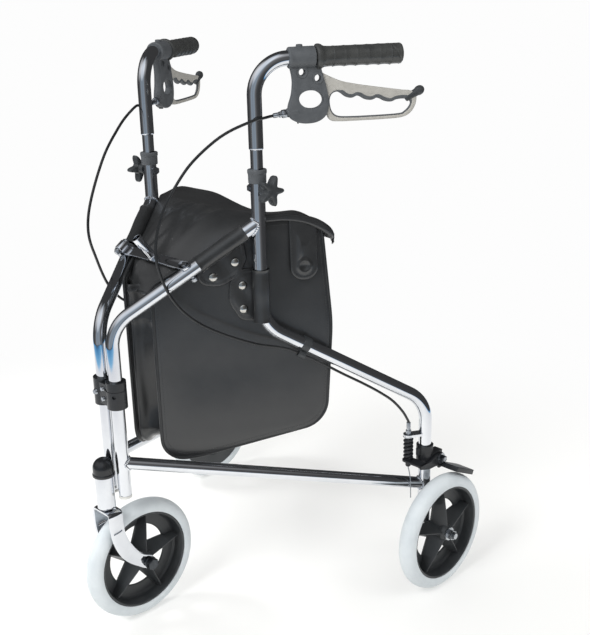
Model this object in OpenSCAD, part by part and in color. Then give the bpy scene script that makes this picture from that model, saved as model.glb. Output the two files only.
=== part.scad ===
// Three wheel rollator: two splayed tube frames hinged side by side at the front,
// a swivel caster in front, two braked wheels behind, and a vinyl bag between them.
// Units are millimetres, X across the walker, Y to the rear, Z up.

/* [Wheels] */
// outside diameter of the three tyres
wheel_d = 200; // [190:1:206]
// width of a tyre
tyre_w = 29; // [26:0.5:31]
// height of a tyre from the rim to the tread
tyre_h = 20; // [18:0.5:23]
// radial depth of the rim ring
rim_t = 11; // [8:0.5:13]
// diameter of the hub boss
boss_d = 32; // [28:1:36]
// width of the hub boss
boss_w = 34; // [32:0.5:36]
// diameter of the wheel axles
axle_d = 10; // [8:0.5:12]

/* [Frame] */
// outside diameter of the rear tubes and the handles
tube_d = 21.2; // [20.6:0.1:22]
// outside diameter of the front tubes
front_d = 20.2; // [19.6:0.1:20.4]
// outside diameter of the lower rails
rail_d = 19.2; // [18:0.1:19.4]
// wall of the frame tube
tube_wall = 1.5; // [1.2:0.1:1.8]
// angle of each side frame from straight back
splay = 30; // [26:0.5:33]
// distance between the two front posts
post_gap = 32; // [30:0.5:36]
// distance along the frame from front post to handle socket
handle_s = 226; // [215:1:240]
// distance along the frame from front post to rear leg
leg_s = 492; // [470:1:510]
// radius of the tube bends
bend_r = 58; // [50:1:64]
// height of the lower end of the front posts above the front tyre
post_up = 33; // [30:1:40]
// height where the front post line meets the upper tube line
front_z = 505; // [490:1:515]
// depth of the upper tube's joint below the top of the socket
joint_drop = 69; // [62:1:78]
// height where the socket line meets the sloping tube line
socket_z = 485; // [475:1:492]
// height where the sloping tube line meets the leg line
leg_z = 324; // [318:1:330]
// height of the lower rail above the lower end of the front post
rail_up = 54; // [48:1:60]
// depth of the lower rail at the rear leg below the top of the tyre
rail_down = 25; // [22:1:35]
// height of the top of the handle socket
socket_top = 712; // [706:1:716]
// distance from the leg to the middle of the rear wheel
wheel_off = 36; // [35:0.5:40]

/* [Handles] */
// height of the grip centre line
grip_z = 874; // [866:1:884]
// lower end of the bent handle tube
handle_low = 749; // [744:1:756]
// lower end of the sliding handle post
slider_low = 556; // [552:1:566]
// radius of the handle bend
handle_bend = 50; // [46:1:50]
// end of the handle tube, along the frame
grip_end = 444; // [436:1:452]
// diameter of the grip
grip_d = 29; // [27:0.5:31]
// diameter of the star knob bolt
knob_bolt_d = 8; // [7:0.5:9]
// reach of a lobe of the star knob
knob_r = 23; // [20:0.5:25]
// thickness of the brake lever
lever_t = 6; // [5:0.5:7]
// width of the brake housing across the grip
housing_w = 15; // [14:0.5:18]
// depth of the brake housing below the grip line
housing_h = 92; // [86:0.5:94]

/* [Caster] */
// diameter of the caster housing
caster_d = 30; // [28:0.5:32]
// diameter of the caster stem
stem_d = 12; // [10:0.5:14]
// distance the front axle trails behind the stem
trail = 54; // [50:1:58]
// thickness of the fork arms
arm_t = 4; // [3:0.5:4.5]
// width of the fork arms
arm_w = 24; // [20:1:26]

/* [Brakes] */
// outside diameter of the brake cable
cable_d = 5; // [4:0.25:5.5]
// outside diameter of the return spring
spring_d = 16; // [14:0.5:17]
// wire of the return spring
spring_wire = 2.2; // [1.8:0.1:2.4]
// curls of the return spring
spring_turns = 6; // [5:1:6]

/* [Bag] */
// thickness of the side panels
panel_t = 8; // [6:0.5:10]
// thickness of the soft skins
skin_t = 3; // [2:0.25:4]
// front edge of the bag along the frame
bag_front = 64; // [58:1:72]
// rear edge of the bag along the frame
bag_rear = 338; // [328:1:346]
// lower edge of the bag
bag_low = 275; // [268:1:282]
// height of the bag cover above the joint of the upper tube
bag_rise = 3; // [0:0.5:6]

/* [Hidden] */
$fn = 48;
// radial running clearance of a shaft in its hole
run_gap = 0.06;
// clearance of a fixed seat
seat_gap = 0.03;
// end clearance between turning faces
side_gap = 0.5;
// free space kept between neighbours that move past each other
free_gap = 0.6;

wheel_r = wheel_d / 2;
rim_r = wheel_r - tyre_h;
tube_r = tube_d / 2;
tube_bore = tube_d - 2 * tube_wall;
front_r = front_d / 2;
front_hole = front_d - 2 * tube_wall;
rail_bore = rail_d - 2 * tube_wall;
slider_d = tube_bore - 2 * run_gap;
post_x = post_gap / 2;
post_z = wheel_d + post_up;
rail_front_z = post_z + rail_up;
rail_rear_z = wheel_d - rail_down;
joint_z = socket_top - joint_drop;
bag_top = joint_z + bag_rise;
slope_up = atan2(joint_z - front_z, handle_s);
slope_down = atan2(socket_z - leg_z, leg_s - handle_s);
leg_dx = leg_s * sin(splay);
leg_dy = leg_s * cos(splay);
wheel_x = post_x + leg_dx + wheel_off;

// caster stem stands in front of the right post, welded to it on this bearing
stem_turn = 27;
stem_reach = front_r + caster_d / 2 - 0.5;
stem_x = -post_x + stem_reach * sin(stem_turn);
stem_dy = -stem_reach * cos(stem_turn);
// the front posts stand so that the outline is centred front to back
post_y = -(stem_dy + trail + leg_dy) / 2;
stem_y = post_y + stem_dy;
wheel_y = post_y + leg_dy;
caster_y = stem_y + trail;

crown_z = wheel_d + 1;
crown_t = 5;
nut_h = 6;
house_z = crown_z + crown_t + nut_h + side_gap;
house_h = 58;
fork_in = tyre_w / 2 + 6;
fork_bend_z = crown_z - 16;
fork_drop = fork_bend_z - wheel_r;
fork_r = (trail * trail + fork_drop * fork_drop) / (2 * trail);
fork_turn = atan2(fork_drop, fork_r - trail);

clamp_z = 379;
clamp_h = 42;
clamp_r = front_r + 5.3;

collar_z = socket_top - 11;
collar_h = 20;
knob_z = socket_top - 20;
knob_from = tube_r + 10;
knob_t = 14;
lobe_r = 6;
// travel of the handle below and above the shown height
drop_travel = 26;
lift_travel = 94;

// brake housing and lever, in frame distance and height
hole_s = 295;
brake_k = housing_h / 92;
function bs(s) = hole_s + brake_k * (s - 295);
function outline(p) = [for (q = p) [bs(q[0]), brake_k * q[1]]];
pivot_s = bs(318);
pivot_z = grip_z - brake_k * 29;
hole_z = grip_z - brake_k * 20;
lever_slot = lever_t + 2;
pin_d = 11;

// rear brake, measured from the leg
brake_z = wheel_d + 21;
anchor_s = leg_s - 29;
anchor_z = brake_z + 44;
arm_x = wheel_x - wheel_off + tube_r + 5.2;
arm_plate = 4;
brake_y = 18;
brake_bolt_d = 8;
spring_low = brake_z + 3.4;
spring_high = anchor_z - 0.6;
spring_rise = spring_high - spring_low - spring_wire;

// lock bar lies across both upper tubes, in the plane that holds them
bar_s = 119;
bar_tilt = atan2(tan(slope_up), cos(splay));
bar_run = atan2(sin(splay) * cos(slope_up), cos(splay) * cos(slope_up) / cos(bar_tilt));
bar_half = post_x + bar_s * sin(splay);
bar_y = post_y + bar_s * cos(splay);
bar_z = front_z + bar_s * tan(slope_up);
bar_t = 4;
bar_w = 16;
bar_low = front_r + 0.4;
peg_d = 8;
peg_play = 2;
bar_pin = front_r + 8;

// bag skins lie inside the tubes
panel_out = -(tube_r + 3);
panel_in = panel_out - panel_t;
strap_r = tube_r + 2;
loop_s1 = 138;
loop_s2 = 200;
loop_z1 = 492;
loop_z2 = 570;
loop_mid = (loop_s1 + loop_s2) / 2;
loop_zm = (loop_z1 + loop_z2) / 2;
patch_r = 40;
rivet_d = 13;
rivet_shank = 4;

CHROME = [0.82, 0.83, 0.85];
BLACK = [0.08, 0.08, 0.09];
GREY = [0.78, 0.80, 0.80];
SILVER = [0.75, 0.76, 0.77];
VINYL = [0.06, 0.06, 0.06];

// side frame coordinates: x outward, y back along the frame, z up; m is 1 for the right
module at_side(m) {
  mirror([m, 0, 0])
    translate([post_x, post_y, 0])
      rotate([0, 0, -splay])
        children();
}

// on a side frame, z straight outward across the walker, y to the rear, x down
module at_cross(s, z) {
  translate([0, s, z])
    rotate([0, 0, splay])
      rotate([0, 90, 0])
        children();
}

// rear wheel coordinates: z outward along the axle
module at_wheel(m) {
  mirror([m, 0, 0])
    translate([wheel_x, wheel_y, wheel_r])
      rotate([0, 90, 0])
        children();
}

// flat outline in frame distance and height, grown by t about the frame plane
module in_plane(t) {
  rotate([90, 0, 90])
    translate([0, 0, -t / 2])
      linear_extrude(t)
        children();
}

// lock bar coordinates: x across, y up the tubes, z off the tubes
module at_bar() {
  translate([0, bar_y, bar_z])
    rotate([bar_tilt, 0, 0])
      children();
}

function unit2(v) = v / norm(v);
function turn2(u, w) = atan2(u[0] * w[1] - u[1] * w[0], u[0] * w[0] + u[1] * w[1]);
function tan_len(p, i, r) = r * tan(abs(turn2(unit2(p[i] - p[i - 1]), unit2(p[i + 1] - p[i]))) / 2);

module straight_rod(a, b, d) {
  translate([0, a[0], a[1]])
    rotate([-atan2(b[0] - a[0], b[1] - a[1]), 0, 0])
      cylinder(h = norm(b - a), d = d);
}

// a round rod through points, with every inner corner bent to radius r;
// a bend is a hair fuller than the straights that run into it
bend_lap = 1;
bend_swell = 0.3;
module bent_rod(p, r, d) {
  n = len(p);
  for (i = [0 : n - 2]) {
    u = unit2(p[i + 1] - p[i]);
    a = i == 0 ? p[i] : p[i] + u * (tan_len(p, i, r) - bend_lap);
    b = i == n - 2 ? p[i + 1] : p[i + 1] - u * (tan_len(p, i + 1, r) - bend_lap);
    straight_rod(a, b, d);
  }
  for (i = [1 : n - 2]) {
    u = unit2(p[i] - p[i - 1]);
    t = turn2(u, unit2(p[i + 1] - p[i]));
    c = p[i] - u * tan_len(p, i, r) + sign(t) * r * [-u[1], u[0]];
    q = p[i] - u * tan_len(p, i, r) - c;
    a0 = atan2(q[1], q[0]);
    translate([0, c[0], c[1]])
      rotate([90, 0, 90])
        rotate([0, 0, t > 0 ? a0 : a0 + t])
          rotate_extrude(angle = abs(t))
            translate([r, 0])
              circle(d = d + bend_swell);
  }
}

front_path = [[0, post_z], [0, front_z], [handle_s, joint_z]];
front_bore = [[0, post_z - 1], [0, front_z],
  [handle_s - tube_r - 7, joint_z - (tube_r + 7) * tan(slope_up)]];
rear_path = [[handle_s, socket_top], [handle_s, socket_z], [leg_s, leg_z], [leg_s, wheel_r - 16]];
rear_bore = [[handle_s, socket_top + 1], [handle_s, socket_z], [leg_s, leg_z], [leg_s, wheel_r - 17]];
rail_fall = (rail_front_z - rail_rear_z) / leg_s;

// welded tubes of one side frame, with the cable stop tab on the leg
module frame_side() {
  difference() {
    union() {
      bent_rod(front_path, bend_r, front_d);
      bent_rod(rear_path, bend_r, tube_d);
      straight_rod([0, rail_front_z], [leg_s, rail_rear_z], rail_d);
      translate([-8, anchor_s - 8, anchor_z])
        cube([16, leg_s - anchor_s + 4, 4]);
    }
    bent_rod(front_bore, bend_r, front_hole);
    bent_rod(rear_bore, bend_r, tube_bore);
    straight_rod([front_r + 4, rail_front_z - (front_r + 4) * rail_fall],
      [leg_s - tube_r - 4, rail_rear_z + (tube_r + 4) * rail_fall], rail_bore);
    // vent of the lower rail
    translate([0, leg_s - 60, rail_rear_z + 60 * rail_fall - tube_d])
      cylinder(h = tube_d, d = 5);
    // cross holes for the axle and the knob bolt
    at_cross(leg_s, wheel_r)
      translate([0, 0, -tube_d])
        cylinder(h = 2 * tube_d, d = axle_d + 2 * seat_gap);
    at_cross(handle_s, knob_z)
      translate([0, 0, -tube_d])
        cylinder(h = 2 * tube_d, d = knob_bolt_d + 2 * run_gap);
    // seat of the cable ferrule
    translate([0, anchor_s, anchor_z - 1])
      cylinder(h = 6, d = 6 + 2 * seat_gap);
  }
}

module right_frame() {
  color(CHROME)
    difference() {
      at_side(1)
        frame_side();
      translate([-post_x, post_y, clamp_z + clamp_h / 2])
        rotate([90, 0, 0])
          cylinder(h = tube_d, d = 5 + 2 * seat_gap);
    }
}

module left_frame() {
  color(CHROME)
    difference() {
      at_side(0)
        frame_side();
      at_bar()
        translate([bar_half, 0, -2 * tube_d])
          cylinder(h = 4 * tube_d, d = peg_d + 2 * seat_gap);
    }
}

// black plug for the open lower end of a tube, outside d and bore b, with a vent
module tube_plug(d, b) {
  difference() {
    union() {
      translate([0, 0, -4])
        cylinder(h = 4 - seat_gap, d = d);
      translate([0, 0, -1])
        cylinder(h = 9, d = b - 2 * seat_gap);
    }
    translate([0, 0, -5])
      cylinder(h = 20, d = 4);
  }
}

module plugs_side() {
  translate([0, 0, post_z])
    tube_plug(front_d, front_hole);
  translate([0, leg_s, wheel_r - 16])
    tube_plug(tube_d, tube_bore);
}

module right_tube_plugs() {
  color(BLACK)
    at_side(1)
      plugs_side();
}

module left_tube_plugs() {
  color(BLACK)
    at_side(0)
      plugs_side();
}

// double sleeve: screwed to the right post, the left post turns in it
module hinge_bracket() {
  color(BLACK)
    difference() {
      union() {
        for (x = [-post_x, post_x])
          translate([x, post_y, clamp_z])
            cylinder(h = clamp_h, r = clamp_r);
        translate([-post_x, post_y - clamp_r + 2, clamp_z + 4])
          cube([post_gap, 2 * clamp_r - 4, clamp_h - 8]);
      }
      translate([-post_x, post_y, clamp_z - 1])
        cylinder(h = clamp_h + 2, d = front_d + 2 * seat_gap);
      translate([post_x, post_y, clamp_z - 1])
        cylinder(h = clamp_h + 2, d = front_d + 2 * run_gap);
      // shallow groove round the turning sleeve
      translate([post_x, post_y, clamp_z + clamp_h - 14])
        rotate_extrude()
          translate([clamp_r - 0.8, 0])
            square([2, 3]);
      // rivet holes through the waist and the screw hole of the right sleeve
      for (dz = [-8, 8])
        translate([0, post_y - 2 * clamp_r, clamp_z + clamp_h / 2 + dz])
          rotate([-90, 0, 0])
            cylinder(h = 4 * clamp_r, d = 4 + 2 * seat_gap);
      translate([-post_x, post_y, clamp_z + clamp_h / 2])
        rotate([90, 0, 0])
          cylinder(h = 2 * clamp_r, d = 5 + 2 * seat_gap);
      // blind oil hole of the turning sleeve
      translate([post_x, post_y, clamp_z + clamp_h / 2])
        rotate([90, 0, 40])
          translate([0, 0, front_r + 2])
            cylinder(h = 10, d = 6);
    }
}

// two rivets through the waist of the sleeve and one screw in the right post
module hinge_rivets() {
  color(SILVER) {
    for (dz = [-8, 8])
      translate([0, post_y, clamp_z + clamp_h / 2 + dz]) {
        rotate([-90, 0, 0])
          translate([0, 0, -clamp_r])
            cylinder(h = 2 * clamp_r, d = 4);
        for (k = [-1, 1])
          rotate([k * 90, 0, 0])
            translate([0, 0, clamp_r - 2 + seat_gap])
              cylinder(h = 2.4, d1 = 8, d2 = 6);
      }
    translate([-post_x, post_y, clamp_z + clamp_h / 2])
      rotate([90, 0, 0]) {
        translate([0, 0, front_r - 4])
          cylinder(h = clamp_r - front_r + 6, d = 5);
        translate([0, 0, clamp_r + seat_gap])
          cylinder(h = 3, d1 = 10, d2 = 7);
      }
  }
}

// short upright tube welded to the right post
module caster_housing() {
  color(CHROME)
    translate([stem_x, stem_y, house_z])
      difference() {
        cylinder(h = house_h, d = caster_d);
        translate([0, 0, -1])
          cylinder(h = house_h + 2, d = stem_d + 2 * run_gap);
        translate([-post_x - stem_x, -stem_dy, -1])
          cylinder(h = house_h + 2, d = front_d + 2 * seat_gap);
      }
}

// black dome over the stem nut
module caster_cap() {
  cap_r = caster_d / 2 + 2;
  color(BLACK)
    difference() {
      translate([stem_x, stem_y, house_z + house_h - 3])
        difference() {
          union() {
            cylinder(h = 12, r = cap_r);
            translate([0, 0, 12])
              intersection() {
                sphere(r = cap_r);
                cylinder(h = 2 * cap_r, r = 2 * cap_r);
              }
          }
          translate([0, 0, -1])
            cylinder(h = 4, d = caster_d + 2 * seat_gap);
          translate([0, 0, -1])
            cylinder(h = 19.5, r = 11);
        }
      translate([-post_x, post_y, 0])
        cylinder(h = 3 * wheel_d, d = front_d + 2 * seat_gap);
    }
}

// one curved fork arm, flat outline in rear and height from the stem
module fork_arm() {
  translate([-arm_w / 2, fork_bend_z])
    square([arm_w, crown_z - fork_bend_z + crown_t]);
  translate([fork_r, fork_bend_z])
    intersection() {
      difference() {
        circle(r = fork_r + arm_w / 2, $fn = 96);
        circle(r = fork_r - arm_w / 2, $fn = 96);
      }
      polygon([[0, 0], [-3 * fork_r, 0], [-3 * fork_r, -3 * fork_r],
        [-3 * fork_r * cos(fork_turn), -3 * fork_r * sin(fork_turn)]]);
    }
  translate([trail, wheel_r])
    circle(d = arm_w + 2);
}

// crown, two curved arms and the stem, one welded piece
module caster_fork() {
  color(CHROME)
    translate([stem_x, stem_y, 0])
      difference() {
        union() {
          for (k = [-1, 1])
            translate([k * (fork_in + arm_t / 2), 0, 0])
              in_plane(arm_t)
                fork_arm();
          translate([-fork_in - 1, -arm_w / 2, crown_z])
            cube([2 * fork_in + 2, arm_w, crown_t]);
          translate([0, 0, crown_z])
            cylinder(h = house_h + crown_t + nut_h + 14, d = stem_d);
        }
        translate([-2 * fork_in, trail, wheel_r])
          rotate([0, 90, 0])
            cylinder(h = 4 * fork_in, d = axle_d - 2 + 2 * seat_gap);
        // slot pressed in each arm below the crown
        for (k = [-1, 1])
          translate([k * (fork_in + arm_t), 0, crown_z - 26])
            cube([1.2, 14, 2.4], center = true);
      }
}

// hex nut on the crown and lock nut under the dome
module caster_nuts() {
  color(SILVER)
    translate([stem_x, stem_y, 0])
      difference() {
        union() {
          translate([0, 0, crown_z + crown_t + seat_gap])
            cylinder(h = nut_h, d = 22, $fn = 6);
          translate([0, 0, house_z + house_h + side_gap])
            cylinder(h = 8, d = 20, $fn = 6);
        }
        cylinder(h = 2 * wheel_d, d = stem_d + 2 * seat_gap);
      }
}

// tyre round the rim, axis on z
module tyre() {
  rotate_extrude($fn = 120)
    difference() {
      translate([wheel_r - tyre_w / 2, 0])
        circle(d = tyre_w);
      translate([0, -tyre_w])
        square([rim_r, 2 * tyre_w]);
    }
}

// rim ring, five tapered spokes and boss, axis on z
module hub(bore) {
  ring_in = rim_r - rim_t;
  lip = tyre_w - 5;
  difference() {
    union() {
      difference() {
        cylinder(h = lip, r = rim_r - seat_gap, center = true, $fn = 120);
        cylinder(h = lip + 2, r = ring_in, center = true, $fn = 120);
      }
      for (i = [0 : 4])
        rotate([0, 0, 72 * i]) {
          translate([0, 0, -5])
            linear_extrude(10)
              polygon([[0, -15], [26, -14], [ring_in + 2, -7], [ring_in + 2, 7], [26, 14], [0, 15]]);
          translate([8, -1.5, -9])
            cube([ring_in - 7, 3, 18]);
        }
      cylinder(h = boss_w, d = boss_d, center = true);
      cylinder(h = 20, d = boss_d + 20, center = true);
    }
    cylinder(h = boss_w + 2, d = bore + 2 * run_gap, center = true);
    for (k = [-1, 1])
      translate([0, 0, k * boss_w / 2])
        difference() {
          cylinder(h = 6, d = boss_d - 6, center = true);
          cylinder(h = 8, d = bore + 8, center = true);
        }
  }
}

module at_caster() {
  translate([stem_x, caster_y, wheel_r])
    rotate([0, 90, 0])
      children();
}

module front_tyre() {
  color(GREY)
    at_caster()
      tyre();
}

module front_hub() {
  color(BLACK)
    at_caster()
      hub(axle_d - 2);
}

// bolt, two spacers and a nut
module front_axle() {
  reach = fork_in + arm_t;
  color(SILVER)
    at_caster() {
      cylinder(h = 2 * reach + 16, d = axle_d - 2, center = true);
      for (k = [0, 1])
        mirror([0, 0, k]) {
          translate([0, 0, boss_w / 2 + side_gap])
            cylinder(h = fork_in - boss_w / 2 - side_gap - seat_gap, d = 15);
          translate([0, 0, reach + seat_gap])
            cylinder(h = 1.6, d = 19);
          translate([0, 0, reach + 1.5])
            cylinder(h = 6, d = 15, $fn = 6);
        }
    }
}

module left_tyre() {
  color(GREY)
    at_wheel(0)
      tyre();
}

module left_hub() {
  color(BLACK)
    at_wheel(0)
      hub(axle_d);
}

module right_tyre() {
  color(GREY)
    at_wheel(1)
      tyre();
}

module right_hub() {
  color(BLACK)
    at_wheel(1)
      hub(axle_d);
}

// bolt through the leg with spacer, washer and nut
module rear_axle() {
  inner = -wheel_off - tube_r - seat_gap;
  difference() {
    union() {
      translate([0, 0, inner - 7])
        cylinder(h = boss_w / 2 + side_gap + 14 - inner + 7, d = axle_d);
      translate([0, 0, inner - 7])
        cylinder(h = 7, d = 18, $fn = 6);
      translate([0, 0, boss_w / 2 + side_gap])
        cylinder(h = 1.8, d = 22);
      translate([0, 0, boss_w / 2 + side_gap + 1.5])
        cylinder(h = 8, d = 17, $fn = 6);
      translate([0, 0, -wheel_off])
        cylinder(h = wheel_off - boss_w / 2 - side_gap, d = 16);
    }
    // the spacer is coped to the leg
    translate([-2 * tube_d, 0, -wheel_off])
      rotate([0, 90, 0])
        difference() {
          cylinder(h = 4 * tube_d, r = tube_r + seat_gap);
          translate([0, 0, 2 * tube_d])
            rotate([0, 90, 0])
              cylinder(h = 4 * tube_d, d = axle_d, center = true);
        }
  }
}

module left_axle() {
  color(SILVER)
    at_wheel(0)
      rear_axle();
}

module right_axle() {
  color(SILVER)
    at_wheel(1)
      rear_axle();
}

// black collar at the top of the socket, guiding the sliding post
module collar_side() {
  translate([0, handle_s, collar_z])
    difference() {
      union() {
        cylinder(h = collar_h, d = tube_d + 5.5);
        translate([0, 0, collar_h - 4])
          cylinder(h = 3, d = tube_d + 7);
      }
      translate([0, 0, -1])
        cylinder(h = socket_top - collar_z + 1 + seat_gap, d = tube_d + 2 * seat_gap);
      cylinder(h = collar_h + 1, d = slider_d + 2 * run_gap);
    }
}

module left_collar() {
  color(BLACK)
    at_side(0)
      collar_side();
}

module right_collar() {
  color(BLACK)
    at_side(1)
      collar_side();
}

handle_path = [[handle_s, handle_low], [handle_s, grip_z], [grip_end, grip_z]];
handle_bore = [[handle_s, handle_low - 1], [handle_s, grip_z], [grip_end + 1, grip_z]];

module handle_side() {
  difference() {
    bent_rod(handle_path, handle_bend, tube_d);
    bent_rod(handle_bore, handle_bend, tube_bore);
  }
}

// sliding post with a through slot for the knob bolt
module slider_side() {
  difference() {
    translate([0, handle_s, slider_low])
      cylinder(h = handle_low + 44 - slider_low, d = slider_d);
    translate([0, handle_s, slider_low - 1])
      cylinder(h = handle_low + 46 - slider_low, d = slider_d - 2 * tube_wall);
    at_cross(handle_s, knob_z)
      translate([-drop_travel - knob_bolt_d / 2 - free_gap, -knob_bolt_d / 2 - 0.4, -tube_d])
        cube([drop_travel + lift_travel + knob_bolt_d + 2 * free_gap, knob_bolt_d + 0.8, 2 * tube_d]);
  }
}

module left_handle_tube() {
  color(CHROME)
    at_side(0)
      handle_side();
}

module right_handle_tube() {
  color(CHROME)
    at_side(1)
      handle_side();
}

module left_handle_post() {
  color(CHROME)
    at_side(0)
      slider_side();
}

module right_handle_post() {
  color(CHROME)
    at_side(1)
      slider_side();
}

// rubber grip with a flange and finger rings, open at the front
module grip_side() {
  flange_s = bs(315.4) + free_gap;
  body = grip_end - flange_s;
  translate([0, flange_s, grip_z])
    rotate([-90, 0, 0])
      difference() {
        union() {
          cylinder(h = 9, d = grip_d + 7);
          cylinder(h = body - 4, d = grip_d);
          translate([0, 0, body - 4])
            cylinder(h = 6, d1 = grip_d, d2 = grip_d - 6);
        }
        translate([0, 0, -1])
          cylinder(h = body + 1 + seat_gap, d = tube_d + 2 * seat_gap);
        for (i = [0 : 3])
          translate([0, 0, 24 + 22 * i])
            rotate_extrude()
              translate([grip_d / 2 + 7, 0])
                circle(r = 8.6);
      }
}

module left_grip() {
  color(BLACK)
    at_side(0)
      grip_side();
}

module right_grip() {
  color(BLACK)
    at_side(1)
      grip_side();
}

// flat outline of the brake housing in frame distance and height from the grip line
module housing_outline() {
  polygon(outline([[277, 0], [279, -12], [282, -37], [280, -52], [274, -70], [276, -82], [286, -89],
    [299, -92], [314, -91], [325, -86], [332, -77], [334, -61], [331, -44], [325, -22],
    [315.4, -20], [315.4, 0]]));
}

module housing_side() {
  translate([0, 0, grip_z])
    difference() {
      union() {
        in_plane(housing_w)
          housing_outline();
        translate([0, bs(277), 0])
          rotate([-90, 0, 0])
            cylinder(h = 38 * brake_k, d = tube_d + 7);
        translate([0, bs(293), tube_r + 1])
          cylinder(h = 6, d = 8);
        // boss of the cable adjuster
        translate([0, bs(290), -74 * brake_k])
          rotate([97, 0, 0])
            cylinder(h = 18, d = 13);
      }
      translate([0, bs(270), 0])
        rotate([-90, 0, 0])
          cylinder(h = 60 * brake_k, d = tube_d + 2 * seat_gap);
      // slot for the lever, open behind
      translate([-lever_slot / 2, bs(305), -100 * brake_k])
        cube([lever_slot, 60 * brake_k, 82 * brake_k]);
      // oval window
      in_plane(2 * housing_w)
        translate([bs(309), -59 * brake_k])
          rotate(-8)
            oval(16 * brake_k, 11.5 * brake_k);
      // pin holes
      for (p = [[hole_s, hole_z], [pivot_s, pivot_z]])
        translate([0, p[0], p[1] - grip_z])
          rotate([0, 90, 0])
            cylinder(h = 2 * housing_w, d = pin_d + 2 * seat_gap, center = true);
      // cable entry
      translate([0, bs(292), -74 * brake_k])
        rotate([97, 0, 0])
          cylinder(h = 40, d = 8 + 2 * seat_gap);
    }
}

// oval made of four round corners and straight flanks
module oval(a, b) {
  union() {
    square([2 * (a - b), 2 * b], center = true);
    for (k = [-1, 1])
      translate([k * (a - b), 0])
        circle(r = b);
  }
}

module left_brake_housing() {
  color(BLACK)
    at_side(0)
      housing_side();
}

module right_brake_housing() {
  color(BLACK)
    at_side(1)
      housing_side();
}

// hollow pivot pin, hollow stop pin and the barrel adjuster
module fittings_side() {
  for (p = [[hole_s, hole_z], [pivot_s, pivot_z]])
    translate([0, p[0], p[1]])
      rotate([0, 90, 0])
        difference() {
          union() {
            cylinder(h = housing_w + 1, d = pin_d, center = true);
            for (k = [0, 1])
              mirror([0, 0, k])
                translate([0, 0, housing_w / 2 + seat_gap])
                  cylinder(h = 1.6, d = pin_d + 5);
          }
          cylinder(h = 2 * housing_w, d = pin_d - 3, center = true);
        }
  translate([0, bs(292), grip_z - 74 * brake_k])
    rotate([97, 0, 0])
      difference() {
        union() {
          cylinder(h = 40, d = 8);
          translate([0, 0, 20.2])
            cylinder(h = 7, d = 12, $fn = 12);
        }
        translate([0, 0, 20])
          cylinder(h = 21, d = cable_d + 1);
      }
}

module left_brake_fittings() {
  color(SILVER)
    at_side(0)
      fittings_side();
}

module right_brake_fittings() {
  color(SILVER)
    at_side(1)
      fittings_side();
}

// loop lever: finger side above, thin return bar below, root plate in the housing
module lever_outline() {
  difference() {
    union() {
      polygon(outline([[318, -21.5], [330, -23], [352, -36], [376, -41], [404, -44.5], [432, -48], [456, -50],
        [463, -53], [465, -62], [464, -84], [458, -91], [440, -92.5], [400, -92], [345, -91],
        [334, -86], [330, -70], [327, -52], [312, -33]]));
      translate([pivot_s, pivot_z - grip_z])
        circle(d = pin_d + 7);
      polygon(outline([[456, -50], [472, -58], [472, -51], [462, -46]]));
    }
    polygon(outline([[337, -46], [352, -51], [382, -56], [413, -61], [440, -64], [455, -63],
      [458, -70], [457, -84], [452, -87], [400, -86.5], [348, -85.5], [340, -82], [337, -66]]));
    for (q = outline([[366, -57], [396, -62.5], [426, -66]]))
      translate(q)
        circle(r = 9 * brake_k);
    translate([pivot_s, pivot_z - grip_z])
      circle(d = pin_d + 2 * run_gap);
  }
}

module lever_side() {
  translate([0, 0, grip_z])
    in_plane(lever_t)
      lever_outline();
  translate([0, bs(473), grip_z - 54.5 * brake_k])
    sphere(d = 12);
}

module left_brake_lever() {
  color(SILVER)
    at_side(0)
      lever_side();
}

module right_brake_lever() {
  color(SILVER)
    at_side(1)
      lever_side();
}

// five lobed knob with a round boss, z outward from the socket
module knob_side() {
  at_cross(handle_s, knob_z)
    difference() {
      union() {
        translate([0, 0, knob_from]) {
          translate([0, 0, -0.6])
            cylinder(h = knob_t + 1.6, r = knob_r - 10);
          for (i = [0 : 4])
            rotate([0, 0, 72 * i + 14]) {
              translate([knob_r - lobe_r, 0, 0])
                cylinder(h = knob_t, r = lobe_r);
              translate([0, -lobe_r + 0.8, 0.4])
                cube([knob_r - lobe_r, 2 * lobe_r - 1.6, knob_t - 0.8]);
            }
        }
        translate([0, 0, tube_r + free_gap])
          cylinder(h = knob_from - tube_r, d = 17);
      }
      cylinder(h = knob_from + knob_t - 4, d = knob_bolt_d + 2 * seat_gap);
    }
}

module bolt_side() {
  at_cross(handle_s, knob_z) {
    translate([0, 0, -tube_r - 6])
      cylinder(h = tube_r + 6 + knob_from + knob_t - 4.1, d = knob_bolt_d);
    translate([0, 0, -tube_r - 6.5])
      cylinder(h = 5.5, d = 13, $fn = 6);
  }
}

module left_star_knob() {
  color(BLACK)
    at_side(0)
      knob_side();
}

module right_star_knob() {
  color(BLACK)
    at_side(1)
      knob_side();
}

module left_knob_bolt() {
  color(SILVER)
    at_side(0)
      bolt_side();
}

module right_knob_bolt() {
  color(SILVER)
    at_side(1)
      bolt_side();
}

// route of the cable: outward, along the frame, height
cable_route = [[0, 271, grip_z - 76.6], [0, 252.5, grip_z - 78.9], [2.4, 246, grip_z - 79.5],
  [7.8, 239, grip_z - 80], [13, 232.4, grip_z - 80.2], [16.4, 223, grip_z - 81], [18.5, 186, 780],
  [21, 158, 764], [26, 126, 738], [30, 102, 708], [32, 84, 678], [33, 73, 646], [33, 69, 614],
  [31, 74, 584], [29, 84, 556], [27, 100, 530], [25, 126, 505], [22, 164, 482], [16, 212, 460],
  [8, 256, 446], [6, 284, 432], [5, 316, 413], [5, 350, 391], [5, 384, 370], [5, 412, 351],
  [4, 434, 333], [2, 452, 311], [0, anchor_s, anchor_z + 26]];
cable_sides = 8;
cable_steps = 3;

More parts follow.
